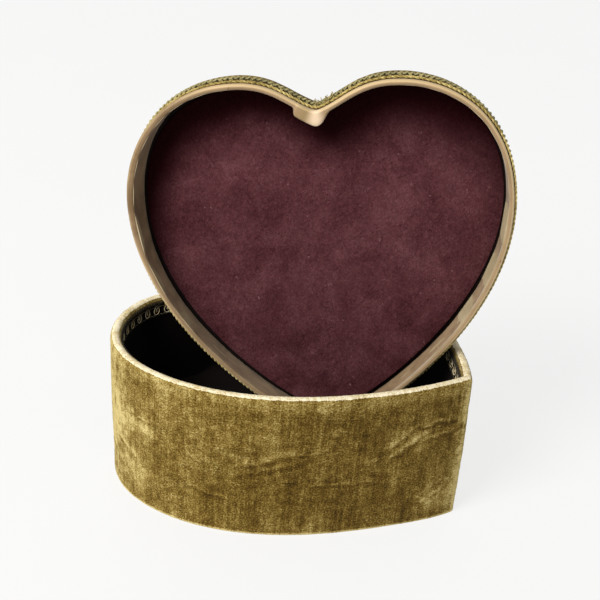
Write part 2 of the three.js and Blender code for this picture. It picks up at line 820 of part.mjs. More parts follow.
function addGreatWheel() {
  const outline = gearOutline(greatTeeth, crownModule, crownInner + toothSeat, crownOuter);
  const ring = plate(outline, crownTips, crownDisc + toothSeat, circle(crownInner, 0, 0, greatTeeth));
  const hollow = circle(crownInner + 2 * toothSeat, 0, 0, greatTeeth);
  const below = plate(hollow, crownTips - overshoot, crownDisc);
  const disc = plate(circle(crownOuter + toothSeat, 0, 0, greatTeeth), crownDisc, crownTop);
  const bore = rod(arborRadius + boreGap, crownTips - overshoot, crownTop + overshoot);
  addMesh(movement, "great_wheel", cut(join(cut(ring, below), disc), bore), brass);
}

function addCylinder() {
  const [pinionRoot, pinionTip] = gearSizes(pinionTeeth, crownModule);
  const firstTooth = Math.PI / pinionTeeth;
  const pinionOutline = gearOutline(pinionTeeth, crownModule, pinionRoot, pinionTip, firstTooth);
  const pinion = plate(pinionOutline, crownInner, crownOuter);
  const shaft = rod(cylinderArborRadius, crownInner, rightBearingEnd + endPlay);
  const arbor = alongX(join(shaft, pinion), 0, cylinderAxisHeight);
  addMesh(movement, "cylinder_arbor", arbor, steel);
  const body = rod(cylinderRadius, cylinderStart, cylinderEnd);
  const boreRadius = cylinderArborRadius + boreGap;
  const bore = rod(boreRadius, cylinderStart - overshoot, cylinderEnd + overshoot);
  const pinned = alongX(cut(join(body, ...cylinderPins()), bore), 0, cylinderAxisHeight);
  addMesh(movement, "cylinder", pinned, brass);
  const wheelOutline = gearOutline(wheelTeeth, spurModule, ...gearSizes(wheelTeeth, spurModule));
  const wheel = plate(wheelOutline, wheelStart, wheelEnd, circle(boreRadius));
  addMesh(movement, "cylinder_wheel", alongX(wheel, 0, cylinderAxisHeight), brass);
}

// The pins stand in rows under the comb's teeth; a fixed step round the cylinder spreads the notes.
function cylinderPins() {
  const pins = [];
  const toothPitch = cylinderLength / combTeeth;
  for (let i = 0; i < pinCount; i += 1) {
    const along = cylinderStart + ((i % combTeeth) + 0.5) * toothPitch;
    const half = pinWidth / 2;
    const pin = block(cylinderRadius - pinRoot, cylinderReach, -half, half, -half, half);
    pins.push(pin.rotateZ(i * pinAngleStep).translate(0, 0, along));
  }
  return pins;
}

function addGovernorArbor() {
  const [leafRoot, leafTip] = gearSizes(governorTeeth, spurModule);
  const firstLeaf = Math.PI / governorTeeth;
  const leafOutline = gearOutline(governorTeeth, spurModule, leafRoot, leafTip, firstLeaf);
  const leaves = plate(leafOutline, wheelStart, wheelEnd);
  const shaft = rod(governorArborRadius, wheelStart, outerLug + bearingThickness + endPlay);
  const arbor = alongX(join(shaft, leaves), governorY, cylinderAxisHeight);
  addMesh(movement, "governor_arbor", arbor, steel);
  const root = wormWheelPitchRadius - toothFall * wormModule;
  const tip = wormWheelPitchRadius + wormToothRise * wormModule;
  const hole = circle(governorArborRadius + boreGap);
  const wheelOutline = gearOutline(wormTeeth, wormModule, root, tip);
  const wheel = plate(wheelOutline, wormWheelStart, wormWheelEnd, hole);
  addMesh(movement, "worm_wheel", alongX(wheel, governorY, cylinderAxisHeight), brass);
}

class Helix extends THREE.Curve {
  getPoint(t) {
    const angle = 2 * Math.PI * wormTurns * (t - 0.5);
    const x = wormRadius * Math.cos(angle);
    const y = wormRadius * Math.sin(angle);
    return new THREE.Vector3(x, y, (wormPitch * angle) / (2 * Math.PI));
  }
}

function addFan() {
  const top = cylinderAxisHeight + cylinderReach + movementHeadroom - runningGap;
  const bottom = top - fanBladeHeight;
  const shaft = rod(wormShaftRadius, glueLine, top, wormX, wormY);
  const coreBottom = cylinderAxisHeight - wormCoreHalfLength;
  const coreTop = cylinderAxisHeight + wormCoreHalfLength;
  const core = rod(wormCoreRadius, coreBottom, coreTop, wormX, wormY);
  const collar = rod(collarRadius, collarBottom, collarBottom + collarHeight, wormX, wormY);
  const section = new THREE.Shape(circle(wormThreadRadius, 0, 0, wormThreadSides));
  const settings = { steps: wormTurns * threadStepsPerTurn, extrudePath: new Helix(), bevelEnabled: false };
  const thread = new THREE.ExtrudeGeometry(section, settings);
  thread.rotateZ(Math.PI / 2).translate(wormX, wormY, cylinderAxisHeight);
  addMesh(movement, "worm_shaft", join(shaft, core, collar, thread), steel);
  const half = fanBladeThickness / 2;
  const blade = block(wormX - fanRadius, wormX + fanRadius, wormY - half, wormY + half, bottom, top);
  const hub = rod(fanHubRadius, bottom, top, wormX, wormY);
  const bore = rod(wormShaftRadius + boreGap, bottom - overshoot, top + overshoot, wormX, wormY);
  addMesh(movement, "fan", cut(join(blade, hub), bore), brass);
}

// ---- comb, bearings, governor bracket and stop lever

// The comb plate: a solid root with a slot cut between each tooth and the next.
function combOutline() {
  const pitch = cylinderLength / combTeeth;
  const corners = [
    [cylinderStart, combTipY],
    [cylinderStart, combEndY],
    [cylinderEnd, combEndY],
    [cylinderEnd, combTipY],
  ];
  for (let tooth = combTeeth - 1; tooth > 0; tooth -= 1) {
    const right = cylinderStart + tooth * pitch + combSlot / 2;
    const left = right - combSlot;
    corners.push([right, combTipY], [right, combRootY], [left, combRootY], [left, combTipY]);
  }
  return corners.map(([x, y]) => new THREE.Vector2(x, y));
}

function addComb() {
  const screwY = (combRootY + combEndY) / 2;
  const screwXs = [cylinderStart + combScrewFromEnd, cylinderEnd - combScrewFromEnd];
  const boreRadius = combScrewRadius + boreGap;
  const holes = screwXs.map((x) => circle(boreRadius, x, screwY));
  addMesh(movement, "comb", plate(combOutline(), combBottom, combTop, ...holes), steel);
  const blockTop = combBottom - glueLine;
  const threadBottom = blockTop - combThreadShare * (blockTop - standTop);
  const bores = screwXs.map((x) => rod(boreRadius, threadBottom, blockTop + overshoot, x, screwY));
  const anvil = block(cylinderStart, cylinderEnd, combEndY, combRootY, standTop, blockTop);
  addMesh(movement, "comb_block", cut(anvil, ...bores), plated);
  screwXs.forEach((x, i) => {
    const headBottom = combTop + glueLine;
    const head = rod(combScrewHead, headBottom, headBottom + combScrewHeadHeight, x, screwY);
    const shank = rod(combScrewRadius, threadBottom + glueLine, headBottom + glueLine, x, screwY);
    addMesh(movement, `comb_screw_${i + 1}`, join(head, shank), steel);
  });
}

// An upright plate that carries the cylinder's arbor, on a foot that runs on towards +X.
function addBearing(name, from) {
  const to = from + bearingThickness;
  const half = bearingWidth / 2;
  const top = cylinderAxisHeight + bearingAboveAxis;
  const upright = block(from, to, -half, half, standTop, top);
  const foot = block(from, from + bearingFoot, -half, half, standTop, standTop + footThickness);
  const bore = rod(cylinderArborRadius + boreGap, from - overshoot, to + overshoot);
  const bored = cut(join(upright, foot), alongX(bore, 0, cylinderAxisHeight));
  addMesh(movement, name, bored, plated);
}

function addGovernorBracket() {
  const half = governorArborRadius + boreGap + bearingThickness;
  const armBottom = cylinderAxisHeight + (wormTurns * wormPitch) / 2 + wormThreadRadius + runningGap;
  const armTop = armBottom + footThickness;
  const lugTop = cylinderAxisHeight + bearingAboveAxis;
  const front = governorY - half;
  const outerEnd = outerLug + bearingThickness;
  const armBack = wormY + collarRadius;
  const armFront = wormY - collarRadius;
  const base = block(rightBearing, outerEnd, front, armBack, standTop, standTop + footThickness);
  const innerLug = block(rightBearing, rightBearingEnd, front, governorY + half, standTop, lugTop);
  const outerPlate = block(outerLug, outerEnd, front, armBack, standTop, armTop);
  const arm = block(wormX - collarRadius, outerEnd, armFront, armBack, armBottom, armTop);
  const whole = join(base, innerLug, outerPlate, arm);
  const boreRadius = governorArborRadius + boreGap;
  const arborBore = rod(boreRadius, rightBearing - overshoot, outerEnd + overshoot);
  const shaftBore = rod(wormShaftRadius + boreGap, 0, armTop + overshoot, wormX, wormY);
  const bored = cut(whole, alongX(arborBore, governorY, cylinderAxisHeight), shaftBore);
  addMesh(movement, "governor_bracket", bored, plated);
}

// A flat bar with round ends between two points.
function bar(fromX, fromY, toX, toY, width, bottom, top) {
  const length = Math.hypot(toX - fromX, toY - fromY);
  const outline = new THREE.Shape();
  outline.absarc(length, 0, width / 2, -Math.PI / 2, Math.PI / 2);
  outline.absarc(0, 0, width / 2, Math.PI / 2, 1.5 * Math.PI);
  const settings = { depth: top - bottom, bevelEnabled: false, curveSegments: 6 };
  const made = new THREE.ExtrudeGeometry(outline, settings);
  return made.rotateZ(Math.atan2(toY - fromY, toX - fromX)).translate(fromX, fromY, bottom);
}

function addStopLever() {
  const armBottom = collarBottom + (collarHeight - stopArmThickness) / 2;
  const armTop = armBottom + stopArmThickness;
  const padY = wormY + collarRadius + runningGap + stopArmWidth / 2;
  const arm = bar(stopPivotX, stopPivotY, wormX, padY, stopArmWidth, armBottom, armTop);
  const eye = rod(2 * stopPinRadius, armBottom, armTop, stopPivotX, stopPivotY);
  const holeBottom = armBottom - overshoot;
  const holeTop = armTop + overshoot;
  const hole = rod(stopPinRadius + glueLine, holeBottom, holeTop, stopPivotX, stopPivotY);
  addMesh(movement, "stop_arm", cut(join(arm, eye), hole), steel);
  const tabTop = -(carrierThickness + glueLine + stopTabDrop);
  const away = Math.atan2(stopPivotY, stopPivotX) + Math.PI / 2;
  const tabX = stopPivotX + stopTabLength * Math.cos(away);
  const tabY = stopPivotY + stopTabLength * Math.sin(away);
  const tabBottom = tabTop - stopTabThickness;
  const pin = rod(stopPinRadius, tabBottom, armTop + glueLine, stopPivotX, stopPivotY);
  const tab = bar(stopPivotX, stopPivotY, tabX, tabY, stopTabWidth, tabBottom, tabTop);
  addMesh(movement, "stop_tab", join(pin, tab), steel);
}

function addMovement() {
  addBedplate();
  addScrews();
  addHousing();
  addMainspring();
  addKey();
  addGreatWheel();
  addCylinder();
  addBearing("bearing_left", leftBearing);
  addBearing("bearing_right", rightBearing);
  addComb();
  addGovernorArbor();
  addGovernorBracket();
  addFan();
  addStopLever();
}

// ---------------------------------------------------------------- the whole part

const musicBox = new THREE.Group();
musicBox.add(box);
addBox();
addMovement();
box.add(movement);
box.add(standingLid());

export default musicBox;
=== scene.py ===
import math

import bpy
import numpy as np
from mathutils import Euler, Matrix, Vector, noise


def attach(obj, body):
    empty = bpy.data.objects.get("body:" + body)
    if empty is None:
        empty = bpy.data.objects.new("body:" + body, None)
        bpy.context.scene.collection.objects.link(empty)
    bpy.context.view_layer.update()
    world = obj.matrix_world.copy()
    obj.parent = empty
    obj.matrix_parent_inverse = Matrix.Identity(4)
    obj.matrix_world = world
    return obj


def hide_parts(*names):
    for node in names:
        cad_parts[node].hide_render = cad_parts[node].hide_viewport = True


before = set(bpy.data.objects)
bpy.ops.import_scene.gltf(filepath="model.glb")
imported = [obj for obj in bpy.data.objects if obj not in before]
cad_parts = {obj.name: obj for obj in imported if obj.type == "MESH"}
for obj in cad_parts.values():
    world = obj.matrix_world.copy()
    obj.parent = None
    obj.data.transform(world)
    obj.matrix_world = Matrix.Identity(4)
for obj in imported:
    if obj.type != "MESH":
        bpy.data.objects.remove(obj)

bl_info = {
    "name": "Heart Music Box",
    "version": (1, 0, 0),
    "blender": (4, 5, 0),
    "location": "3D View > Sidebar > Music Box",
    "description": "Builds a velvet-covered heart music box with braid, lined lid and winding key",
    "category": "Object",
}

# ---------------------------------------------------------------- sizes, metres

MM = 0.001

# Heart outline from its tip (0, 0) along its middle line, as on the solids.
HEART_LENGTH = 201 * MM
WIDEST = (100 * MM, 137 * MM)
LOBE_TOP = (41.7 * MM, 201 * MM)
CLEFT = 185 * MM
TIP_ANGLE = math.radians(64)
CLEFT_ANGLE = math.radians(69)
TIP_HANDLE = 35 * MM
FLANK_HANDLE = 67 * MM
SHOULDER_HANDLE = 42 * MM
LOBE_OUTER_HANDLE = 31 * MM
LOBE_INNER_HANDLE = 20 * MM
CLEFT_HANDLE = 18 * MM
CURVE_STEPS = 200
CORNER_SPREAD = 3.5 * MM

BOX_HEIGHT = 91.5 * MM
BOTTOM_SHARE = 5 / 200
FLOOR_TOP = 30.9 * MM
RIM_WIDTH = 6.0 * MM
SKIN = 1.0 * MM
LINING_INNER = -6.0 * MM
LINING_THICKNESS = 0.55 * MM
LINING_GAP = 0.05 * MM
LINING_TOP = 87.3 * MM
LINING_TURN = 0.35 * MM
LINING_TURN_REACH = 5 * MM
CARD_INNER = -5.4 * MM
CARD_OUTER = -1.6 * MM
CARD_LEVELS = (0.8 * MM, 30.0 * MM, 60.0 * MM, 90.3 * MM)
BOX_BRAID_BACK = -6.1 * MM
BOX_BRAID_TOP = 90.1 * MM
HEM_WIDTH = 8 * MM

# The lid, lying on its back: w = 0 at its open edge, the tray goes down to -w.
LID_ANGLES = (math.radians(-64.5), math.radians(3.7), math.radians(-6.8))
LID_INNER = 0.6 * MM
LID_OUTER = 3.6 * MM
LID_VELVET = 4.1 * MM
LID_VELVET_INNER = 3.3 * MM
LID_BRAID_BACK = 4.0 * MM
PANEL_OUTLINE = -1.0 * MM
PANEL_COVER_OUTLINE = -2.6 * MM
PANEL_LEAN = 3.0 * MM
PANEL_FRONT = -15.5 * MM
PANEL_BACK = -16.3 * MM
BINDING_FLOOR = -16.2 * MM
SKIRT = 3.2 * MM
LID_BRAID_FROM_EDGE = 2.1 * MM
PAD_BACK = -18.7 * MM
PAD_DEPTH = 7.5 * MM
PAD_ROUND = 7.0 * MM
PAD_CENTRE = (0, 112 * MM)

SEED = 7


def srgb(red, green, blue):
    """A colour as it is seen, 0 to 255, as the linear values that shaders take."""
    return tuple(
        c / 12.92 if c <= 0.04045 else ((c + 0.055) / 1.055) ** 2.4
        for c in (red / 255, green / 255, blue / 255)
    )


# ---------------------------------------------------------------- outlines


def bezier(points, steps):
    """Points along a cubic curve, without its last one."""
    a, b, c, d = (np.array(p, float) for p in points)
    t = np.linspace(0, 1, steps, endpoint=False)[:, None]
    return a * (1 - t) ** 3 + 3 * b * t * (1 - t) ** 2 + 3 * c * t**2 * (1 - t) + d * t**3


def half_heart():
    """The right half of the heart, from its tip to its cleft."""
    tip, cleft = (0, 0), (0, CLEFT)
    out = (TIP_HANDLE * math.sin(TIP_ANGLE), TIP_HANDLE * math.cos(TIP_ANGLE))
    into = (
        CLEFT_HANDLE * math.sin(CLEFT_ANGLE),
        CLEFT + CLEFT_HANDLE * math.cos(CLEFT_ANGLE),
    )
    wide, top = WIDEST, LOBE_TOP
    flank = (tip, out, (wide[0], wide[1] - FLANK_HANDLE), wide)
    shoulder = (
        wide,
        (wide[0], wide[1] + SHOULDER_HANDLE),
        (top[0] + LOBE_OUTER_HANDLE, top[1]),
        top,
    )
    lobe = (top, (top[0] - LOBE_INNER_HANDLE, top[1]), into, cleft)
    parts = [bezier(part, CURVE_STEPS) for part in (flank, shoulder, lobe)]
    return np.vstack([*parts, [cleft]])


class Outline:
    """The heart as evenly spaced points from the tip round to the right, which can be moved in or out."""

    def __init__(self, count):
        half = half_heart()
        far = np.concatenate([[0], np.cumsum(np.linalg.norm(np.diff(half, axis=0), axis=1))])
        even = np.linspace(0, far[-1], count // 2 + 1)
        right = np.stack([np.interp(even, far, half[:, k]) for k in (0, 1)], axis=1)
        left = right[1:-1][::-1] * (-1, 1)
        self.count = count
        self.points = np.vstack([right, left])
        self.along = np.arange(count) * (2 * far[-1] / count)
        self.length = 2 * far[-1]
        self._find_normals()

    def _find_normals(self):
        step = np.roll(self.points, -1, axis=0) - self.points
        step /= np.linalg.norm(step, axis=1)[:, None]
        before = np.roll(step, 1, axis=0)
        ahead = np.stack([step[:, 1], -step[:, 0]], axis=1)
        behind = np.stack([before[:, 1], -before[:, 0]], axis=1)
        true = ahead + behind
        true /= np.linalg.norm(true, axis=1)[:, None]
        reach = max(1, round(CORNER_SPREAD / (self.length / self.count)))
        weights = np.hanning(2 * reach + 3)[1:-1]
        shifted = [np.roll(true, k, axis=0) * w for k, w in zip(range(-reach, reach + 1), weights)]
        blended = sum(shifted)
        blended /= np.linalg.norm(blended, axis=1)[:, None]
        self.normals = blended / (blended * ahead).sum(axis=1)[:, None]
        corners = (0, self.count // 2)
        for corner in corners:
            self.normals[corner] = blended[corner] / (blended[corner] @ ahead[corner])

    def at(self, grow):
        """The outline moved outwards by grow, one length or one for each point."""
        return self.points + self.normals * np.reshape(grow, (-1, 1))


def eased_at_cleft(outline, flat, reach=8 * MM, rounds=34):
    """A ring whose cleft is rounded, as stretched cloth rounds it."""
    near = np.exp(-(((outline.along - outline.length / 2) / reach) ** 2))[:, None]
    return flat * (1 - near) + softened(flat, rounds) * near


def softened(ring, rounds=2):
    """A ring whose corners are eased, as cloth eases them."""
    for _ in range(rounds):
        ring = (np.roll(ring, 1, axis=0) + 2 * ring + np.roll(ring, -1, axis=0)) / 4
    return ring


def in_box(flat, level):
    """Outline points at a level of the box, whose wall flares from the bottom up."""
    level = np.broadcast_to(level, len(flat))
    share = 1 - BOTTOM_SHARE * (1 - level / BOX_HEIGHT)
    across = flat[:, 0] * share
    ahead = WIDEST[1] + (flat[:, 1] - WIDEST[1]) * share - HEART_LENGTH / 2
    return np.stack([across, ahead, level], axis=1)


def lid_matrix():
    """Where the lid stands: its own axes to the row's, found from its panel's solid."""
    turn, lean, side = LID_ANGLES
    steps = (
        Matrix.Rotation(turn, 4, "Z"),
        Matrix.Rotation(-lean, 4, "X"),
        Matrix.Rotation(side, 4, "Y"),
        Matrix.Rotation(math.pi / 2, 4, "X"),
    )
    inner_side_shade = steps[0] @ steps[1] @ steps[2] @ steps[3]
    corners = np.array([inner_side_shade.inverted() @ v.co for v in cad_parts["lid_panel"].data.vertices])
    low, high = corners.min(axis=0), corners.max(axis=0)
    tip = -PANEL_OUTLINE / math.sin(TIP_ANGLE)
    own = Vector(((low[0] + high[0]) / 2, low[1] - tip, high[2] - PANEL_FRONT))
    return Matrix.Translation(inner_side_shade @ own) @ inner_side_shade


LID = lid_matrix()


def in_lid(flat, level):
    """Outline points at a level of the lid, in the row's frame."""
    level = np.broadcast_to(level, len(flat))
    own = np.column_stack([flat, level, np.ones(len(flat))])
    return (own @ np.array(LID).T)[:, :3]


# ---------------------------------------------------------------- modelling


def clear_selection():
    bpy.ops.object.select_all(action="DESELECT")


def pick(obj):
    """Makes obj the only selected object and the active one."""
    clear_selection()
    obj.select_set(True)
    bpy.context.view_layer.objects.active = obj


def named(name):
    """The new active object under its name."""
    obj = bpy.context.object
    obj.name = obj.data.name = name
    return obj


def edit(obj, *steps):
    """Runs steps on all of an object in edit mode."""
    pick(obj)
    bpy.ops.object.mode_set(mode="EDIT")
    bpy.ops.mesh.select_all(action="SELECT")
    for step in steps:
        step()
    bpy.ops.object.mode_set(mode="OBJECT")


def loft(name, rings, closed=True):
    """A tube through rings of points: a circle is extruded once for each ring, and its points placed."""
    count = len(rings[0])
    clear_selection()
    bpy.ops.mesh.primitive_circle_add(vertices=count, radius=1)
    obj = named(name)

    def raise_rings():
        for _ in rings[1:]:
            bpy.ops.mesh.extrude_region_move(TRANSFORM_OT_translate={"value": (0, 0, 1)})

    def join_ends():
        bpy.ops.mesh.select_all(action="DESELECT")
        bpy.ops.mesh.select_non_manifold()
        bpy.ops.mesh.bridge_edge_loops()

    edit(obj, raise_rings, *([join_ends] if closed else []))
    ring, column = ring_places(obj, count)
    placed = np.array(rings)[ring, column]
    obj.data.vertices.foreach_set("co", placed.ravel())
    obj.data.update()
    return obj, ring, column


def ring_places(obj, count):
    """The ring and the column of each point of a raised circle."""
    co = np.zeros(len(obj.data.vertices) * 3)
    obj.data.vertices.foreach_get("co", co)
    co = co.reshape(-1, 3)
    ring = np.rint(co[:, 2]).astype(int)
    angle = np.arctan2(co[:, 1], co[:, 0])
    column = np.rint(angle / (2 * math.pi) * count).astype(int) % count
    return ring, column


def lay_uv(obj, ring, column, along, across, total):
    """A UV map in metres: u runs round the heart and v across the rings."""
    layer = obj.data.uv_layers.get("UVMap") or obj.data.uv_layers.new(name="UVMap")
    loops = np.zeros(len(obj.data.loops), int)
    obj.data.loops.foreach_get("vertex_index", loops)
    first = np.zeros(len(obj.data.polygons), int)
    sides = np.zeros(len(obj.data.polygons), int)
    obj.data.polygons.foreach_get("loop_start", first)
    obj.data.polygons.foreach_get("loop_total", sides)
    face = np.repeat(np.arange(len(first)), sides)
    u = along[column[loops]]
    last = len(along) - 1
    wraps = np.zeros(len(first), bool)
    np.logical_or.at(wraps, face, column[loops] == last)
    u = np.where(wraps[face] & (column[loops] == 0), total, u)
    v = across[ring[loops]]
    layer.data.foreach_set("uv", np.stack([u, v], axis=1).ravel())


def set_mask(obj, name, values):
    """A value from 0 to 1 at each point, for a material to read."""
    mask = obj.data.attributes.new(name=name, type="FLOAT", domain="POINT")
    mask.data.foreach_set("value", np.clip(values, 0, 1))


def finish_piece(obj, body, material, slot, *nodes, smooth=35):
    """Turns faces outwards, smooths the piece, and gives it its material and body; its slot is not used."""
    edit(
        obj,
        lambda: bpy.ops.mesh.remove_doubles(threshold=0.005 * MM),
        lambda: bpy.ops.mesh.normals_make_consistent(inside=False),
    )
    pick(obj)
    bpy.ops.object.shade_smooth_by_angle(angle=math.radians(smooth))
    obj.data.materials.clear()
    obj.data.materials.append(material)
    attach(obj, body)
    if nodes:
        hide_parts(*nodes)
    return obj


def ripple(points, size, offset=0.0, octaves=2):
    """Soft noise from -1 to 1 at each point, with ripples about size across."""
    shift = Vector((offset, SEED, -offset))
    found = [
        noise.fractal(Vector(p) / size + shift, 1.0, 2.0, octaves, noise_basis="PERLIN_ORIGINAL")
        for p in points
    ]
    return np.array(found)


def smoothstep(low, high, value):
    t = np.clip((value - low) / (high - low), 0, 1)
    return t * t * (3 - 2 * t)


# ---------------------------------------------------------------- materials


class Tree:
    """Short calls to add and join the nodes of a material or a group."""

    def __init__(self, tree):
        self.tree = tree

    def add(self, kind, settings=None, **inputs):
        node = self.tree.nodes.new(kind)
        for key, value in (settings or {}).items():
            setattr(node, key, value)
        for key, value in inputs.items():
            self.feed(node.inputs[key.replace("_", " ")], value)
        return node

    def feed(self, socket, value):
        if isinstance(value, bpy.types.NodeSocket):
            self.tree.links.new(value, socket)
        elif hasattr(value, "__len__") and len(value) == 3 and len(socket.default_value) == 4:
            socket.default_value = (*value, 1)
        else:
            socket.default_value = value

    def times(self, one, other):
        return self.math("MULTIPLY", one, other)

    def plus(self, one, other):
        return self.math("ADD", one, other)

    def math(self, operation, first, second=0.5, clamp=False):
        node = self.add("ShaderNodeMath", {"operation": operation, "use_clamp": clamp})
        self.feed(node.inputs[0], first)
        self.feed(node.inputs[1], second)
        return node.outputs[0]

    def noise(self, place, scale, detail=3, roughness=0.5, distortion=0):
        node = self.add(
            "ShaderNodeTexNoise",
            Vector=place,
            Scale=scale,
            Detail=detail,
            Roughness=roughness,
            Distortion=distortion,
        )
        return node.outputs["Fac"]

    def stretch(self, place, scale, turn=(0, 0, 0)):
        return self.add("ShaderNodeMapping", Vector=place, Scale=scale, Rotation=turn).outputs[0]

    def ramp(self, value, *stops):
        """A colour ramp of (place, colour) stops."""
        node = self.add("ShaderNodeValToRGB", Fac=value)
        ramp = node.color_ramp
        while len(ramp.elements) < len(stops):
            ramp.elements.new(0.5)
        for element, (place, colour) in zip(ramp.elements, stops):
            element.position = place
            element.color = (*colour, 1) if hasattr(colour, "__len__") else (colour,) * 3 + (1,)
        return node.outputs["Color"]

    def mix(self, share, first, second, blend="MIX"):
        node = self.add("ShaderNodeMix", {"data_type": "RGBA", "blend_type": blend})
        self.feed(node.inputs["Factor"], share)
        self.feed(node.inputs["A"], first)
        self.feed(node.inputs["B"], second)
        return node.outputs["Result"]

    def range(self, value, low, high, to_low=0.0, to_high=1.0):
        node = self.add("ShaderNodeMapRange", {"interpolation_type": "SMOOTHSTEP"})
        self.feed(node.inputs["Value"], value)
        for key, number in (
            ("From Min", low),
            ("From Max", high),
            ("To Min", to_low),
            ("To Max", to_high),
        ):
            self.feed(node.inputs[key], number)
        return node.outputs["Result"]

    def group(self, group, **inputs):
        return self.add("ShaderNodeGroup", {"node_tree": group}, **inputs).outputs

    def attribute(self, name):
        return self.add("ShaderNodeAttribute", {"attribute_name": name}).outputs["Fac"]

    def place(self, kind="Object"):
        return self.add("ShaderNodeTexCoord").outputs[kind]


def new_group(name, inputs, outputs):
    """An empty shader group with named sockets; gives the group, its tree, and its two end nodes."""
    group = bpy.data.node_groups.new(name, "ShaderNodeTree")
    kinds = {"vector": "NodeSocketVector", "value": "NodeSocketFloat", "colour": "NodeSocketColor"}
    for way, sockets in (("INPUT", inputs), ("OUTPUT", outputs)):
        for label, kind in sockets.items():
            group.interface.new_socket(label, in_out=way, socket_type=kinds[kind])
    tree = Tree(group)
    ends = group.nodes.new("NodeGroupInput").outputs, group.nodes.new("NodeGroupOutput").inputs
    return group, tree, *ends


def new_material(name):
    """A material with an empty Principled shader; gives the material, its tree and the shader."""
    made = bpy.data.materials.new(name)
    made.use_nodes = True
    tree = Tree(made.node_tree)
    shader = made.node_tree.nodes["Principled BSDF"]
    return made, tree, shader


def bump(tree, height, distance, strength=1.0):
    node = tree.add("ShaderNodeBump", Height=height, Distance=distance, Strength=strength)
    return node.outputs["Normal"]


def nap_group():
    """Crushed pile: bands and threads along the nap, crushed patches, creases, and the pile's grain."""
    inputs = {"Place": "vector", "Band Place": "vector", "Thread Place": "vector"}
    group, tree, given, out = new_group("Nap", inputs, {"Tone": "value", "Height": "value"})
    place = given["Place"]
    patches = tree.noise(place, 34, 4, 0.6, 0.7)
    mottle = tree.noise(place, 210, 4, 0.65)
    grain = tree.noise(place, 1050, 3, 0.7)
    bands = tree.noise(given["Band Place"], 90, 3, 0.6)
    threads = tree.noise(given["Thread Place"], 520, 3, 0.6)
    wandering = tree.noise(tree.stretch(place, (0.6, 1.5, 1)), 42, 4, 0.6, 0.9)
    apart = tree.math("ABSOLUTE", tree.math("SUBTRACT", wandering, 0.5))
    crease = tree.range(apart, 0.028, 0.0)
    crease = tree.times(crease, tree.range(tree.noise(place, 26, 2, 0.5), 0.5, 0.62))
    tone = tree.times(crease, 0.10)
    weights = ((patches, 0.26), (mottle, 0.42), (bands, 0.34), (threads, 0.32), (grain, 0.9))
    for value, share in weights:
        part = tree.times(tree.math("SUBTRACT", value, 0.5), share)
        tone = tree.plus(tone, part)
    tree.feed(out["Tone"], tree.plus(tone, 0.5))
    height = tree.plus(tree.times(grain, 0.7), tree.times(mottle, 0.5))
    height = tree.plus(height, tree.times(crease, 0.5))
    tree.feed(out["Height"], height)
    return group


def fibre_group():
    """Pressed fibres, fine crossed wrinkles and soft clouding, for papers, boards and leatherette."""
    outputs = {"Cloud": "value", "Fibre": "value", "Wrinkle": "value", "Fleck": "value"}
    group, tree, given, out = new_group("Fibre", {"Place": "vector"}, outputs)
    place = given["Place"]
    tree.feed(out["Cloud"], tree.noise(place, 45, 5, 0.62, 0.4))
    tree.feed(out["Fibre"], tree.noise(place, 760, 3, 0.65, 1.2))
    crossed = tree.noise(place, 260, 4, 0.6, 2.2)
    apart = tree.math("ABSOLUTE", tree.math("SUBTRACT", crossed, 0.5))
    tree.feed(out["Wrinkle"], tree.range(apart, 0.06, 0.0))
    tree.feed(out["Fleck"], tree.range(tree.noise(place, 330, 2, 0.6), 0.70, 0.78))
    return group


def wear_group():
    """Fine scratches and tarnish for metal."""
    outputs = {"Tarnish": "value", "Scratch": "value"}
    group, tree, given, out = new_group("Tarnish", {"Place": "vector"}, outputs)
    place = given["Place"]
    tree.feed(out["Tarnish"], tree.noise(place, 120, 5, 0.65))
    tree.feed(out["Scratch"], tree.noise(tree.stretch(place, (1, 14, 1)), 500, 3, 0.6))
    return group


GROUPS = {}


def shared(maker):
    """A node group, made the first time it is asked for."""
    if maker not in GROUPS:
        GROUPS[maker] = maker()
    return GROUPS[maker]


def velvet(name, colours, by_uv):
    """Velvet: dark in the pile, lighter where the nap is crushed, cream where it is worn."""
    made, tree, shader = new_material(name)
    place = tree.place("UV" if by_uv else "Object")
    banded = tree.stretch(place, (1, 0.22, 1) if by_uv else (1, 1, 0.22))
    threaded = tree.stretch(place, (1, 0.07, 1) if by_uv else (1, 1, 0.07))
    nap = tree.group(
        shared(nap_group), Place=place, Band_Place=banded, Thread_Place=threaded
    )
    pressed = tree.math("SUBTRACT", tree.attribute("crushed"), 0.5)
    tone = tree.plus(nap["Tone"], tree.times(pressed, 0.62))
    pile = tree.ramp(
        tone,
        (0.30, colours.deep),
        (0.47, colours.pile),
        (0.62, colours.crushed),
        (0.84, colours.highlight),
    )
    rub_and_highlight = tree.plus(tree.attribute("worn"), tree.times(nap["Tone"], 0.7))
    worn = tree.range(rub_and_highlight, 0.72, 1.02)
    rim = tree.ramp(nap["Tone"], (0.36, colours.worn_dark), (0.58, colours.worn))
    base = tree.mix(worn, pile, rim)
    # Painted shade: the velvet darkens to near-black by its shade mask, as under the lid's braid.
    tree.feed(shader.inputs["Base Color"], tree.mix(tree.attribute("dim"), base, srgb(12, 8, 2)))
    tree.feed(shader.inputs["Normal"], bump(tree, nap["Height"], 0.55 * MM, 0.9))
    shader.inputs["Roughness"].default_value = 0.92
    shader.inputs["Specular IOR Level"].default_value = 0.1
    shader.inputs["Sheen Weight"].default_value = 0.16
    shader.inputs["Sheen Roughness"].default_value = 0.4
    shader.inputs["Sheen Tint"].default_value = (*srgb(222, 200, 130), 1)
    return made


CLEFT_WAY = 319.9 * MM


# The binding's left side, which faces away from the light, is painted darker as shade: where it starts and
# ends round the heart.
SHADED_SIDE_START = (0.372, 0.402)
SHADED_SIDE_END = (0.505, 0.47)


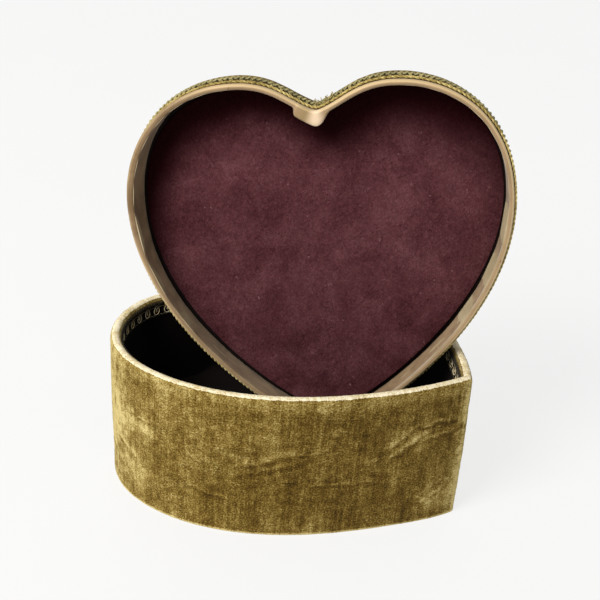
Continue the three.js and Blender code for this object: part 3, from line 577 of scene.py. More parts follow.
def satin(name, cloth, shade, edge, line):
    """Close-woven binding: fine threads, soil, spots and lengthwise creases, with light and shade painted
    across its rounded edge, down its left side, in its creases and over the cleft.
    """
    made, tree, shader = new_material(name)
    place = tree.place("UV")
    across = tree.add("ShaderNodeSeparateXYZ", Vector=place).outputs["Y"]
    soil = tree.noise(place, 60, 5, 0.6, 0.5)
    base = tree.ramp(soil, (0.36, shade), (0.6, cloth))
    along = tree.add("ShaderNodeSeparateXYZ", Vector=place).outputs["X"]
    # Painted shade: the inner side of the rounded edge is darker.
    inner_side_shade = tree.times(tree.range(across, 13.9 * MM, 15.4 * MM), 0.6)
    base = tree.mix(inner_side_shade, base, srgb(148, 123, 90))
    # Painted highlight: the outer side of the rounded edge is paler.
    rub_and_highlight = tree.times(tree.range(across, 17.0 * MM, 17.9 * MM), 0.9)
    base = tree.mix(rub_and_highlight, base, edge)
    # Painted light: a grey-white line on the inner side of the edge at the right, where the wall faces the
    # light.
    apart = tree.math("ABSOLUTE", tree.math("SUBTRACT", across, 14.6 * MM))
    side = tree.range(along, 0.3, 0.27, 0.05, 0.8)
    lit_inner_line = tree.times(tree.range(apart, 0.9 * MM, 0.4 * MM), side)
    base = tree.mix(lit_inner_line, base, srgb(178, 172, 158))
    # Painted shade on the binding's left side, which faces away from the light.
    shaded_side = tree.times(tree.range(along, *SHADED_SIDE_START), tree.range(along, *SHADED_SIDE_END))
    shaded_side = tree.times(shaded_side, tree.range(soil, 0.3, 0.62, 0.88, 0.5))
    base = tree.mix(shaded_side, base, srgb(98, 74, 44))
    from_cleft = tree.math("SUBTRACT", along, CLEFT_WAY)
    # Painted highlight where the binding turns over the cleft.
    cleft_highlight = tree.range(tree.math("ABSOLUTE", from_cleft), 6.5 * MM, 0.5 * MM, 0, 0.75)
    cleft_highlight = tree.times(cleft_highlight, tree.range(across, 10.5 * MM, 15.5 * MM))
    # Painted shade on the lap's folds between its cut end and the cleft.
    lap_shade_start = tree.range(from_cleft, 1.5 * MM, 5 * MM)
    lap_shade = tree.times(lap_shade_start, tree.range(from_cleft, 13 * MM, 8 * MM))
    lap_shade = tree.times(lap_shade, tree.range(soil, 0.35, 0.6, 0.6, 0.1))
    base = tree.mix(lap_shade, base, srgb(132, 112, 62))
    base = tree.mix(cleft_highlight, base, srgb(226, 200, 168))
    drawn = tree.noise(tree.stretch(place, (1, 0.02, 1)), 20, 3, 0.6)
    middle = tree.range(drawn, 0.3, 0.7, 12.6 * MM, 15.8 * MM)
    apart = tree.math("ABSOLUTE", tree.math("SUBTRACT", across, middle))
    crease = tree.range(apart, 0.38 * MM, 0.1 * MM)
    faded = tree.range(tree.noise(tree.stretch(place, (1, 0.1, 1)), 34, 2, 0.5), 0.42, 0.58)
    crease = tree.times(crease, faded)
    # Painted shade in the crease lines, darkened toward the line colour.
    base = tree.mix(tree.times(crease, 0.8), base, line)
    spots = tree.range(tree.noise(place, 210, 2, 0.5), 0.71, 0.75, 0, 0.7)
    base = tree.mix(spots, base, srgb(92, 52, 34))
    tree.feed(shader.inputs["Base Color"], base)
    woven = tree.noise(place, 1700, 2, 0.5)
    height = tree.math("SUBTRACT", woven, crease)
    tree.feed(shader.inputs["Normal"], bump(tree, height, 0.14 * MM, 0.6))
    shader.inputs["Roughness"].default_value = 0.55
    shader.inputs["Specular IOR Level"].default_value = 0.3
    shader.inputs["Sheen Weight"].default_value = 0.15
    return made


def leatherette(name, colour, light, dark):
    """Embossed paper: fine crossed wrinkles, soft clouding and a few pale flecks."""
    made, tree, shader = new_material(name)
    fibre = tree.group(shared(fibre_group), Place=tree.place("Object"))
    tone = tree.times(fibre["Cloud"], 0.44)
    tone = tree.plus(tone, tree.times(fibre["Fibre"], 0.5))
    tone = tree.plus(tone, tree.times(fibre["Wrinkle"], 0.06))
    base = tree.ramp(tone, (0.36, dark), (0.48, colour), (0.63, light))
    flecks = tree.times(fibre["Fleck"], 0.4)
    base = tree.mix(flecks, base, srgb(160, 120, 120))
    # Painted shadow: the panel's shade mask darkens it where the lid's walls would shade it.
    shade = tree.times(tree.attribute("shade"), 0.97)
    tree.feed(shader.inputs["Base Color"], tree.mix(shade, base, srgb(24, 1, 3)))
    height = tree.plus(fibre["Fibre"], tree.times(fibre["Wrinkle"], 0.6))
    tree.feed(shader.inputs["Normal"], bump(tree, height, 0.4 * MM, 0.8))
    tree.feed(shader.inputs["Roughness"], tree.range(fibre["Cloud"], 0.3, 0.7, 0.6, 0.8))
    shader.inputs["Specular IOR Level"].default_value = 0.02
    return made


def paper(name, colour, dark, roughness=0.85):
    """Plain paper or board, a little clouded and fibrous."""
    made, tree, shader = new_material(name)
    fibre = tree.group(shared(fibre_group), Place=tree.place("Object"))
    tree.feed(shader.inputs["Base Color"], tree.ramp(fibre["Cloud"], (0.35, dark), (0.65, colour)))
    tree.feed(shader.inputs["Normal"], bump(tree, fibre["Fibre"], 0.15 * MM, 0.5))
    shader.inputs["Roughness"].default_value = roughness
    shader.inputs["Specular IOR Level"].default_value = 0.1
    return made


def thread(name, colour, dark, light, edging):
    """Wrapped gimp cord: fine winding lines, a greyer edging cord, and parts painted dark as shade."""
    made, tree, shader = new_material(name)
    place = tree.place("Object")
    tone = tree.noise(place, 560, 4, 0.7)
    large = tree.noise(place, 60, 3, 0.5)
    tone = tree.plus(tree.times(tone, 0.5), tree.times(large, 0.5))
    base = tree.ramp(tone, (0.36, dark), (0.47, colour), (0.62, light))
    base = tree.mix(tree.times(tree.attribute("tint"), 0.6), base, edging)
    # Painted shade: the cord darkens to near-black by its shade mask.
    base = tree.mix(tree.attribute("dim"), base, srgb(16, 10, 4))
    tree.feed(shader.inputs["Base Color"], base)
    winding = tree.noise(place, 2600, 2, 0.5)
    tree.feed(shader.inputs["Normal"], bump(tree, winding, 0.15 * MM, 0.8))
    shader.inputs["Roughness"].default_value = 0.7
    shader.inputs["Specular IOR Level"].default_value = 0.15
    shader.inputs["Sheen Weight"].default_value = 0.05
    return made


def metal(name, colour, dull, roughness):
    """Plain metal with light tarnish and fine scratches."""
    made, tree, shader = new_material(name)
    wear = tree.group(shared(wear_group), Place=tree.place("Object"))
    tree.feed(shader.inputs["Base Color"], tree.ramp(wear["Tarnish"], (0.35, dull), (0.65, colour)))
    tree.feed(
        shader.inputs["Roughness"],
        tree.range(wear["Scratch"], 0.3, 0.7, roughness * 0.7, roughness * 1.4),
    )
    tree.feed(shader.inputs["Normal"], bump(tree, wear["Scratch"], 0.02 * MM, 0.4))
    shader.inputs["Metallic"].default_value = 1.0
    return made


MATERIALS = {}


def material(name):
    """One of this object's materials, made the first time it is asked for."""
    if name not in MATERIALS:
        MATERIALS[name] = MAKERS[name]()
    return MATERIALS[name]


def make_velvet(name, by_uv):
    return velvet(name, bpy.context.scene.music_box.velvet, by_uv)


MAKERS = {
    "box_velvet": lambda: make_velvet("box_velvet", True),
    "lid_velvet": lambda: make_velvet("lid_velvet", False),
    # The satin's edge colour paints its highlight, and its line colour the shade in its creases.
    "satin": lambda: satin(
        "tan_satin", srgb(146, 120, 88), srgb(112, 88, 60), srgb(190, 165, 122), srgb(84, 58, 34)
    ),
    "leatherette": lambda: leatherette(
        "burgundy_leatherette", srgb(78, 42, 46), srgb(102, 64, 68), srgb(56, 26, 30)
    ),
    "lining": lambda: paper("wine_lining_paper", srgb(16, 10, 9), srgb(9, 5, 4)),
    # Near-black board, so that the gap round the lid's panel reads as shadow: painted shade.
    "dark_board": lambda: paper("shadow_black_board", srgb(22, 14, 12), srgb(12, 7, 6)),
    "kraft": lambda: paper("pasted_paper", srgb(196, 180, 150), srgb(170, 152, 120)),
    "board": lambda: paper("greyboard", srgb(176, 160, 130), srgb(150, 134, 104)),
    "gimp": lambda: thread(
        "gimp_cord", srgb(152, 132, 72), srgb(74, 58, 18), srgb(208, 190, 126), srgb(130, 130, 100)
    ),
    # The inner braid's cord is a lighter copy of the gimp: painted light, so that it shows in the shade
    # inside the box.
    "inner_gimp": lambda: thread(
        "inner_gimp_cord_painted_light", srgb(232, 208, 160), srgb(190, 164, 116), srgb(250, 238, 208), srgb(134, 134, 104)
    ),
    "wadding": lambda: paper("cotton_wadding", srgb(230, 226, 214), srgb(212, 206, 190)),
    "brass": lambda: metal("brass", srgb(206, 172, 96), srgb(160, 126, 62), 0.32),
    "steel": lambda: metal("steel", srgb(172, 174, 176), srgb(128, 130, 132), 0.35),
    "plated": lambda: metal("nickel_plate", srgb(206, 202, 192), srgb(160, 156, 146), 0.26),
}


# ---------------------------------------------------------------- the velvet cover of the box

WALL_RINGS = 70
RIM_STEPS = 14
HEM_STEPS = 5
COVER_COLUMNS = 800
HEM_RADIUS = 1.0 * MM
TIP_FLARE = 3.6 * MM
FLARE_REACH = 34 * MM


def cover_profile():
    """The cover's cross-section: (offset, level, how freely it may ripple) from the hem up, over and back."""
    rim_radius = RIM_WIDTH / 2
    rim_centre = BOX_HEIGHT - rim_radius
    profile = [(-HEM_WIDTH, 0.0, 0.0), (-HEM_WIDTH * 0.6, 0.0, 0.0)]
    for step in range(HEM_STEPS + 1):
        angle = math.pi / 2 * step / HEM_STEPS
        out = -HEM_RADIUS + HEM_RADIUS * math.sin(angle)
        profile.append((out, HEM_RADIUS - HEM_RADIUS * math.cos(angle), 0.4 * step / HEM_STEPS))
    for level in np.linspace(HEM_RADIUS, rim_centre, WALL_RINGS)[1:]:
        profile.append((0.0, level, 1.0))
    for step in range(1, RIM_STEPS + 1):
        angle = math.pi * step / RIM_STEPS
        out = -rim_radius + rim_radius * math.cos(angle)
        profile.append((out, rim_centre + rim_radius * math.sin(angle), 0.5))
    inner = -RIM_WIDTH
    profile.append((inner, 87.5 * MM, 0.3))
    profile.append((inner + 0.6 * MM, 87.5 * MM, 0.0))
    profile.append((inner + 0.6 * MM, 90.2 * MM, 0.0))
    profile.append((-SKIN, 90.4 * MM, 0.0))
    profile.append((-SKIN, 0.75 * MM, 0.0))
    profile.append((-HEM_WIDTH, 0.6 * MM, 0.0))
    return profile


# Creases in the wall, in millimetres: start and end (way round, level), width and depth.
CREASES = (
    ((434, 58), (464, 59), 1.0, 0.30),
    ((418, 57), (428, 40), 2.4, 0.70),
    ((423, 36), (441, 30), 1.6, 0.35),
    ((508, 44), (545, 55), 2.0, 0.36),
    ((505, 38), (541, 49), 1.6, 0.28),
    ((514, 34), (532, 40), 1.4, 0.20),
    ((592, 46), (616, 62), 1.6, 0.42),
    ((594, 55), (606, 66), 1.2, 0.35),
    ((575, 47), (602, 50), 0.9, 0.25),
    ((604, 66), (636, 67), 1.2, 0.40),
    ((612, 56), (634, 60), 1.2, 0.30),
    ((532, 37), (546, 37), 0.9, 0.25),
    ((548, 34), (584, 33), 1.0, 0.30),
    ((470, 27), (500, 22), 1.2, 0.25),
    ((616, 12), (634, 24), 1.0, 0.35),
    ((614, 17), (630, 27), 0.9, 0.25),
    ((90, 40), (128, 52), 1.3, 0.40),
    ((150, 58), (190, 49), 1.4, 0.40),
    ((205, 30), (238, 36), 1.1, 0.30),
    ((262, 55), (290, 44), 1.6, 0.50),
    ((340, 52), (372, 46), 1.3, 0.40),
    ((30, 62), (62, 50), 1.3, 0.40),
)

# Places where the pile is pressed flat and shines, in millimetres: middle, half sizes and strength.
CRUSHED = (
    ((400, 44), (36, 70), 0.36),
    ((412, 60), (6, 16), 0.22),
    ((421, 44), (6, 9), 0.62),
    ((413, 33), (5, 8), 0.42),
    ((436, 52), (9, 7), 0.22),
    ((450, 54), (5, 5), 0.24),
    ((627, 17), (11, 9), 0.10),
    ((638, 74), (5, 12), 0.42),
    ((637, 40), (4, 22), 0.20),
    ((600, 60), (12, 7), 0.14),
    ((520, 70), (9, 12), 0.10),
    ((470, 74), (18, 10), 0.10),
    ((440, 24), (10, 14), 0.16),
    ((360, 40), (14, 12), 0.30),
    ((230, 62), (12, 9), 0.34),
    ((110, 28), (14, 10), 0.30),
    ((30, 40), (10, 12), 0.28),
)


# The pile lies lighter at the wall's widest bends, partly crushed and partly painted light, and lighter low
# down by the tip.
BEND_CRUSH_AND_LIGHT = 0.1
BEND_REACH = 25 * MM
TIP_LIGHTER = 0.1
TIP_REACH = 60 * MM


def wall_tone(outline, level):
    """How much lighter the pile lies round the wall, from the outline's own bends: partly crushed pile,
    partly painted light.
    """
    tip = np.minimum(outline.along, outline.length - outline.along)
    points = outline.at(0)
    widest = tip[np.argmax(points[:, 0])]
    bend = np.exp(-(((tip - widest) / BEND_REACH) ** 2))
    low = smoothstep(BOX_HEIGHT, 0, level)
    return BEND_CRUSH_AND_LIGHT * bend + TIP_LIGHTER * low * smoothstep(TIP_REACH, 0, tip)


def line_offsets(points, start, end):
    """How far flat points lie to one side of a line, and whether they lie beside it or past its ends."""
    start, end = np.array(start, float), np.array(end, float)
    along = end - start
    length = np.linalg.norm(along)
    along /= length
    away = points - start
    share = away @ along / length
    side = away @ np.array([-along[1], along[0]])
    within = smoothstep(-0.15, 0.15, share) * smoothstep(1.15, 0.85, share)
    return side, within


def wall_marks(along, level, wander):
    """Depth of the creases, and how light or dark the pile lies, at each point of one ring; crease valleys
    are painted darker as shade and their ridges lighter as highlight.
    """
    flat = np.stack([along / MM, np.full(len(along), level / MM)], axis=1)
    flat = flat + wander
    depth, tone = np.zeros(len(along)), np.zeros(len(along))
    for start, end, width, deep in CREASES:
        side, within = line_offsets(flat, start, end)
        valley = np.exp(-((side / width) ** 2)) * within
        ridge = np.exp(-(((side - 1.7 * width) / width) ** 2)) * within
        depth += 0.32 * deep * (valley - 0.8 * ridge)
        # Painted shade in each crease's valley and painted highlight on its ridge.
        tone += 0.5 * deep * (ridge - 0.9 * valley)
    for middle, half, strength in CRUSHED:
        spread = (((flat - middle) / half) ** 2).sum(axis=1)
        tone += strength * np.exp(-(spread**1.5))
    return depth * MM, tone


def add_box_velvet():
    outline = Outline(COVER_COLUMNS)
    rings, worn, crushed, across = [], [], [], []
    tip = np.minimum(outline.along, outline.length - outline.along)
    reached, previous = 0.0, None
    for grow, level, free in cover_profile():
        base = in_box(outline.at(grow), level)
        flare = TIP_FLARE * np.exp(-((tip / FLARE_REACH) ** 2)) * (1 - level / BOX_HEIGHT)
        if free:
            wander = np.stack([ripple(base, 7 * MM, 11.3), ripple(base, 7 * MM, 17.9)], axis=1) * 1.6
            dents, marks = wall_marks(outline.along, level, wander)
            waves = ripple(base, 55 * MM, 3.1) * 0.5 * MM + ripple(base, 9 * MM, 8.2) * 0.12 * MM
            pile = ripple(base, 2.4 * MM, 5.7) * 0.14 * MM
            fuzz = ripple(base, 1.7 * MM, 23.1) * 0.34 * MM
            rim = smoothstep(BOX_HEIGHT - 2.6 * MM, BOX_HEIGHT - 0.6 * MM, level)
            shift = free * (waves - dents) + pile + rim * fuzz
            lift = rim * fuzz * 0.7
            clumps = ripple(base, 3.4 * MM, 31.7)
            marks = marks * (1 + 0.9 * clumps) + wall_tone(outline, level)
        else:
            shift = lift = marks = np.zeros(COVER_COLUMNS)
            rim = 0.0
        rings.append(in_box(softened(outline.at(grow + shift + flare)), level + lift))
        if free:
            inside = smoothstep(-RIM_WIDTH * 0.8, -RIM_WIDTH * 1.02, grow)
            top = smoothstep(BOX_HEIGHT - 1.3 * MM, BOX_HEIGHT - 0.3 * MM, level)
            ragged = ripple(base, 5 * MM, 1.3) * 0.25
            worn.append(np.clip(top * (1 - 0.6 * inside) + ragged * top, 0, 1))
            hem = 0.7 * (1 - smoothstep(0.5 * MM, 1.9 * MM, level))
            corner = 0.32 * np.exp(-((tip / (2.2 * MM)) ** 2)) * (1 + 0.8 * ripple(base, 14 * MM, 2.6))
            below_rim = 0.16 * smoothstep(80 * MM, 88 * MM, level) * (1 - top)
            crushed.append(np.clip(0.5 + marks + hem + corner + below_rim, 0, 1))
        else:
            worn.append(np.zeros(COVER_COLUMNS))
            crushed.append(np.full(COVER_COLUMNS, 0.5))
        if previous is not None:
            reached += math.dist(previous, (grow, level))
        across.append(reached)
        previous = (grow, level)
    obj, ring, column = loft("box_velvet", rings)
    lay_uv(obj, ring, column, outline.along, np.array(across), outline.length)
    set_mask(obj, "worn", np.array(worn)[ring, column])
    set_mask(obj, "crushed", np.array(crushed)[ring, column])
    finish_piece(obj, "box", material("box_velvet"), "velvet", "wall_velvet", "velvet_hem", smooth=60)


# ---------------------------------------------------------------- wall card and lining

LINING_COLUMNS = 360


def add_wall_card():
    """The box's wall: card bent round to the same smooth outline as its lining and velvet."""
    outline = Outline(LINING_COLUMNS)
    inner = [in_box(outline.at(CARD_INNER), level) for level in CARD_LEVELS]
    outer = [in_box(outline.at(CARD_OUTER), level) for level in CARD_LEVELS]
    obj, _, _ = loft("box_wall_card", [*inner, *outer[::-1]])
    finish_piece(obj, "box", material("board"), "cardboard", "wall_card")


def add_box_lining():
    outline = Outline(LINING_COLUMNS)
    levels = np.linspace(FLOOR_TOP + LINING_GAP, LINING_TOP, 12)
    front, back = [], []
    for level in levels:
        base = in_box(outline.at(LINING_INNER), level)
        waves = ripple(base, 30 * MM, 2.2) * 0.12 * MM
        foot = LINING_TURN * math.exp(-(((level - FLOOR_TOP) / LINING_TURN_REACH) ** 2))
        front.append(in_box(outline.at(LINING_INNER + waves - foot), level))
        back.append(in_box(outline.at(LINING_INNER + LINING_THICKNESS), level))
    obj, _, _ = loft("wall_lining_paper", [*front, *back[::-1]])
    finish_piece(obj, "box", material("lining"), "lining_paper", "wall_lining")


# ---------------------------------------------------------------- braid

class Braid:
    """The sizes of one scroll braid: its scrolls as (share of full size, thickness) pairs."""

    def __init__(self, pitch, middle, height, reach, edging, thickness, lift, scrolls):
        self.pitch, self.middle, self.height = pitch * MM, middle * MM, height * MM
        self.reach, self.edging, self.thickness = reach, edging * MM, thickness * MM
        self.lift, self.scrolls = lift, scrolls


BOX_BRAID = Braid(
    pitch=8.4, middle=5.9, height=3.4, reach=0.5, edging=9.9, thickness=0.21, lift=(1.9, 0.9),
    scrolls=((1.0, 1.0), (0.5, 0.7)),
)
LID_BRAID = Braid(
    pitch=5.0, middle=5.5, height=2.7, reach=0.32, edging=9.3, thickness=0.42, lift=(1.0, 0.4),
    scrolls=((1.0, 0.72),),
)
HEAD_MIDDLE = 1.5 * MM
HEAD_SWING = 0.95 * MM
HEAD_LOOP = 2.7 * MM
FRAY_COUNT = 28


def cord_mesh(name, points, radius, closed=True):
    """A round cord through points, as a mesh."""
    clear_selection()
    bpy.ops.curve.primitive_nurbs_path_add()
    obj = named(name)
    curve = obj.data
    curve.splines.clear()
    spline = curve.splines.new("POLY")
    spline.points.add(len(points) - 1)
    spline.points.foreach_set("co", np.column_stack([points, np.ones(len(points))]).ravel())
    spline.use_cyclic_u = closed
    curve.dimensions = "3D"
    curve.bevel_depth = radius
    curve.bevel_resolution = 1
    curve.use_fill_caps = True
    pick(obj)
    bpy.ops.object.convert(target="MESH")
    return bpy.context.object


def braid_place(outline, to_row, back, edge, outwards):
    """Turns (way round the heart, distance from the edge, lift) of a braid into points of the row."""

    def place(way, down, lift):
        index = way / outline.length % 1.0 * outline.count
        low = np.floor(index).astype(int)
        part = (index - low)[:, None]

        def between(values):
            return values[low % outline.count] * (1 - part) + values[(low + 1) % outline.count] * part

        out = np.broadcast_to(back + outwards * lift, way.shape)
        flat = between(outline.points) + between(outline.normals) * out[:, None]
        return to_row(flat, edge - down)

    return place


def braid_cords(braid, length):
    """The cords of scroll gimp: (turns, steps in a turn, radius, tint, path from turns to a place)."""
    turns = round(length / braid.pitch)
    pitch = length / turns
    loops = 2 * round(length / HEAD_LOOP / 2)

    def scroll(share, radius):
        def path(t):
            way = (t + braid.reach * share * np.sin(2 * math.pi * t)) * pitch
            down = braid.middle - braid.height * share * np.cos(2 * math.pi * t)
            return way, down, radius * (braid.lift[0] + braid.lift[1] * np.sin(2 * math.pi * t))

        return turns, 24, radius, 0.3, path

    def head(phase):
        def path(t):
            angle = math.pi * t + phase
            down = HEAD_MIDDLE + HEAD_SWING * np.sin(angle)
            return t * length / loops, down, braid.thickness * (1.2 + 0.5 * np.cos(angle))

        return loops, 9, braid.thickness * 1.15, 0.0, path

    def edging(radius):
        def path(t):
            angle = 2 * math.pi * t
            down = braid.edging + 0.25 * MM * np.cos(angle)
            return t * length / loops, down, radius + 0.45 * MM * np.sin(angle)

        return loops, 8, radius, 1.0, path

    thin = braid.thickness
    scrolls = [scroll(share, thin * thick) for share, thick in braid.scrolls]
    return *scrolls, head(0.0), head(math.pi), edging(thin * 1.5)


def add_braid(name, braid, place, length, body, node, extras=(), dim=None):
    """Scroll gimp: a chain at the head, cords in overlapping loops, and an edging cord."""
    cords = list(extras)
    for number, (turns, steps, radius, tint, path) in enumerate(braid_cords(braid, length)):
        t = np.arange(turns * steps) / steps
        cord = cord_mesh(f"{name}_{number}", place(*path(t)), radius)
        set_mask(cord, "tint", np.full(len(cord.data.vertices), tint))
        cords.append(cord)
    clear_selection()
    for cord in cords:
        cord.select_set(True)
    bpy.context.view_layer.objects.active = cords[-1]
    bpy.ops.object.join()
    obj = named(name)
    co = np.array([v.co for v in obj.data.vertices])
    # The inner braid's mask paints its shade into the cord's colour.
    set_mask(obj, "dim", dim(co) if dim else np.zeros(len(co)))
    # A braid with painted shade takes the lighter copy of the cord, which is painted light.
    cloth = material("inner_gimp" if dim else "gimp")
    return finish_piece(obj, body, cloth, "gimp", node, smooth=60)


def inner_braid_painted_shade(co):
    """How dark the inner braid is painted as shade inside the box: its head under the rim and its edging are,
    the loops' ends aren't.
    """
    head = 0.97 * smoothstep(82.6 * MM, 87.0 * MM, co[:, 2])
    foot = 0.93 * smoothstep(80.85 * MM, 80.65 * MM, co[:, 2])
    return np.maximum(head, foot)


def add_box_braid():
    outline = Outline(720)
    place = braid_place(outline, in_box, BOX_BRAID_BACK, BOX_BRAID_TOP, -1)
    add_braid("box_braid", BOX_BRAID, place, outline.length, "box", "inner_gimp", dim=inner_braid_painted_shade)


def frayed_ends(place, middle):
    """Loose threads where the lid's braid starts and ends, at the cleft."""
    for number in range(FRAY_COUNT):
        seed = number * 1.7 + 0.3
        way = middle + 3.6 * MM * math.sin(seed * 2.1)
        down = 2.0 * MM + 1.6 * MM * math.sin(seed * 3.7)
        t = np.linspace(0, 1, 7)
        lean = 4.2 * MM * math.sin(seed * 5.3)
        reach = (2.6 + 1.1 * math.cos(seed * 1.9)) * MM
        path = place(way + lean * t**1.5, down - 1.4 * MM * t * math.cos(seed), 0.6 * MM + reach * t)
        thread = cord_mesh(f"fray_{number}", path, 0.2 * MM, closed=False)
        set_mask(thread, "tint", np.full(len(thread.data.vertices), 0.5))
        yield thread


def add_lid_braid():
    outline = Outline(720)
    outline.points = eased_at_cleft(outline, outline.at(-BRAID_SUNK * slack_side(outline)))
    place = braid_place(outline, in_lid, LID_BRAID_BACK, -LID_BRAID_FROM_EDGE, 1)
    extras = frayed_ends(place, outline.length / 2 - 7.5 * MM)
    add_braid("lid_braid", LID_BRAID, place, outline.length, "lid", "lid_gimp", extras)


# ---------------------------------------------------------------- the lid

BINDING_COLUMNS = 900
EDGE_STEPS = 9
EDGE_RADIUS = 1.42 * MM
SLACK_SIDE = (452 * MM, 52 * MM)
BINDING_SLACK = 2.9 * MM
BINDING_ROLL = 1.0 * MM
BRAID_SUNK = 1.1 * MM
LAP_END = 12.2 * MM
LAP_HANGS = (4.6 * MM, 3.6 * MM)


def lap_over_cleft(outline):
    """How far the binding's second end hangs over its first: most at its cut end, least past the cleft."""
    way = outline.along - outline.length / 2
    share = np.clip(way / LAP_END, 0, 1)
    hang = LAP_HANGS[0] + (LAP_HANGS[1] - LAP_HANGS[0]) * share
    return hang * smoothstep(LAP_END + 0.3 * MM, LAP_END - 0.3 * MM, way) * smoothstep(-9 * MM, 0, way)


def slack_side(outline):
    """The side of the lid where the binding has sagged in: 1 at its middle, fading round the heart."""
    middle, reach = SLACK_SIDE
    return np.exp(-(((outline.along - middle) / reach) ** 2))


def binding_profile():
    """(offset, level) of the binding from the panel up the inner wall, over the edge and down outside."""
    middle = (LID_OUTER + LID_INNER) / 2
    flat = (LID_OUTER - LID_INNER) / 2 - EDGE_RADIUS
    profile = [(LID_INNER, level) for level in np.linspace(BINDING_FLOOR, -EDGE_RADIUS, 18)]
    for step in range(1, EDGE_STEPS + 1):
        angle = math.pi / 2 * step / EDGE_STEPS
        out = middle - flat - EDGE_RADIUS * math.cos(angle)
        profile.append((out, -EDGE_RADIUS + EDGE_RADIUS * math.sin(angle)))
    for step in range(EDGE_STEPS + 1):
        angle = math.pi / 2 * step / EDGE_STEPS
        out = middle + flat + EDGE_RADIUS * math.sin(angle)
        profile.append((out, -EDGE_RADIUS + EDGE_RADIUS * math.cos(angle)))
    profile.append((LID_OUTER, -SKIRT))
    return profile


def add_lid_binding():
    outline = Outline(BINDING_COLUMNS)
    lap = lap_over_cleft(outline)
    slack = slack_side(outline) * BINDING_SLACK
    rings, across = [], []
    reached, previous = 0.0, None
    front = in_lid(outline.at(0), 0)
    crease_level = -2.6 * MM + 1.1 * MM * ripple(front, 45 * MM, 7.7)
    second_level = -9.0 * MM + 2.4 * MM * ripple(front, 60 * MM, 5.2)
    for grow, level in binding_profile():
        base = in_lid(outline.at(grow), level)
        inner = 1.0 if grow < (LID_INNER + LID_OUTER) / 2 else 0.0
        waves = ripple(base, 22 * MM, 4.4) * 0.14 * MM + ripple(base, 5 * MM, 9.4) * 0.06 * MM
        crease = np.exp(-(((level - crease_level) / (0.45 * MM)) ** 2)) * inner
        second = np.exp(-(((level - second_level) / (0.8 * MM)) ** 2)) * inner
        hang = lap * smoothstep(-17 * MM, -2.5 * MM, level) * inner
        sag = slack * smoothstep(-2 * MM, BINDING_FLOOR, level) * inner
        roll = slack_side(outline) * BINDING_ROLL * (1 - inner)
        grown = grow + waves + 0.25 * MM * crease + 0.18 * MM * second - hang - sag + roll
        eased = eased_at_cleft(outline, outline.at(grown))
        bridged = smoothstep(LID_INNER, (LID_INNER + LID_OUTER) / 2, grow)
        flat = outline.at(grown) * (1 - bridged) + eased * bridged
        rings.append(in_lid(softened(flat), level + 0.15 * lap * (level > -2 * MM)))
        if previous is not None:
            reached += math.dist(previous, (grow, level))
        across.append(reached)
        previous = (grow, level)
    back = [
        (LID_OUTER - 0.3 * MM, -SKIRT),
        (LID_OUTER - 0.3 * MM, -0.7 * MM),
        (LID_INNER + 0.4 * MM, -0.7 * MM),
        (LID_INNER + 0.4 * MM, BINDING_FLOOR),
    ]
    for grow, level in back:
        rings.append(in_lid(outline.at(grow), level))
        reached += math.dist(previous, (grow, level))
        across.append(reached)
        previous = (grow, level)
    obj, ring, column = loft("lid_binding", rings)
    lay_uv(obj, ring, column, outline.along, np.array(across), outline.length)
    finish_piece(obj, "lid", material("satin"), "satin", "lid_satin", smooth=50)


def scaled_ring(outline, grow, share):
    """The outline drawn in towards the middle of the pad."""
    centre = np.array(PAD_CENTRE)
    return centre + (outline.at(grow) - centre) * share


# The painted shadow of the lid's walls on the panel: how far it is moved and how it fades.
SHADE_SHIFT = (7 * MM, -14 * MM)
SHADE_FADE = 15 * MM


def inside_outline(flat, outline):
    """How far points lie inside the heart; negative outside it."""
    inside = np.empty(len(flat))
    for first in range(0, len(flat), 2000):
        part = flat[first : first + 2000]
        away = part[:, None, :] - outline.points[None, :, :]
        nearest = (away**2).sum(axis=2).argmin(axis=1)
        rows = np.arange(len(part))
        inside[first : first + 2000] = -(away[rows, nearest] * outline.normals[nearest]).sum(axis=1)
    return inside


def panel_level(flat):
    """The panel leans in its recess: deep at the top of the heart, nearer the edge at the tip."""
    return PANEL_FRONT + PANEL_LEAN * smoothstep(120 * MM, -5 * MM, flat[:, 1])


def panel_shade(flat, outline):
    """The painted shadow on the panel: darkest at the top and the left, where the lid's walls would shade it,
    and a little along its right edge.
    """
    clear = inside_outline(flat - np.array(SHADE_SHIFT), outline)
    clear = clear + ripple(in_lid(flat, 0), 20 * MM, 8.8) * 2.5 * MM
    right, top = smoothstep(0, 60 * MM, flat[:, 0]), smoothstep(110 * MM, 170 * MM, flat[:, 1])
    fade = SHADE_FADE + (7 * MM + 13 * MM * right) * top
    dark = 1 - smoothstep(-5 * MM, fade, clear)
    strength = 0.35 + 0.65 * smoothstep(55 * MM, 160 * MM, flat[:, 1])
    # A little painted shade along the panel's right edge.
    edge = 0.3 * right * (1 - smoothstep(0, 16 * MM, inside_outline(flat, outline)))
    return np.maximum(dark * strength, edge)


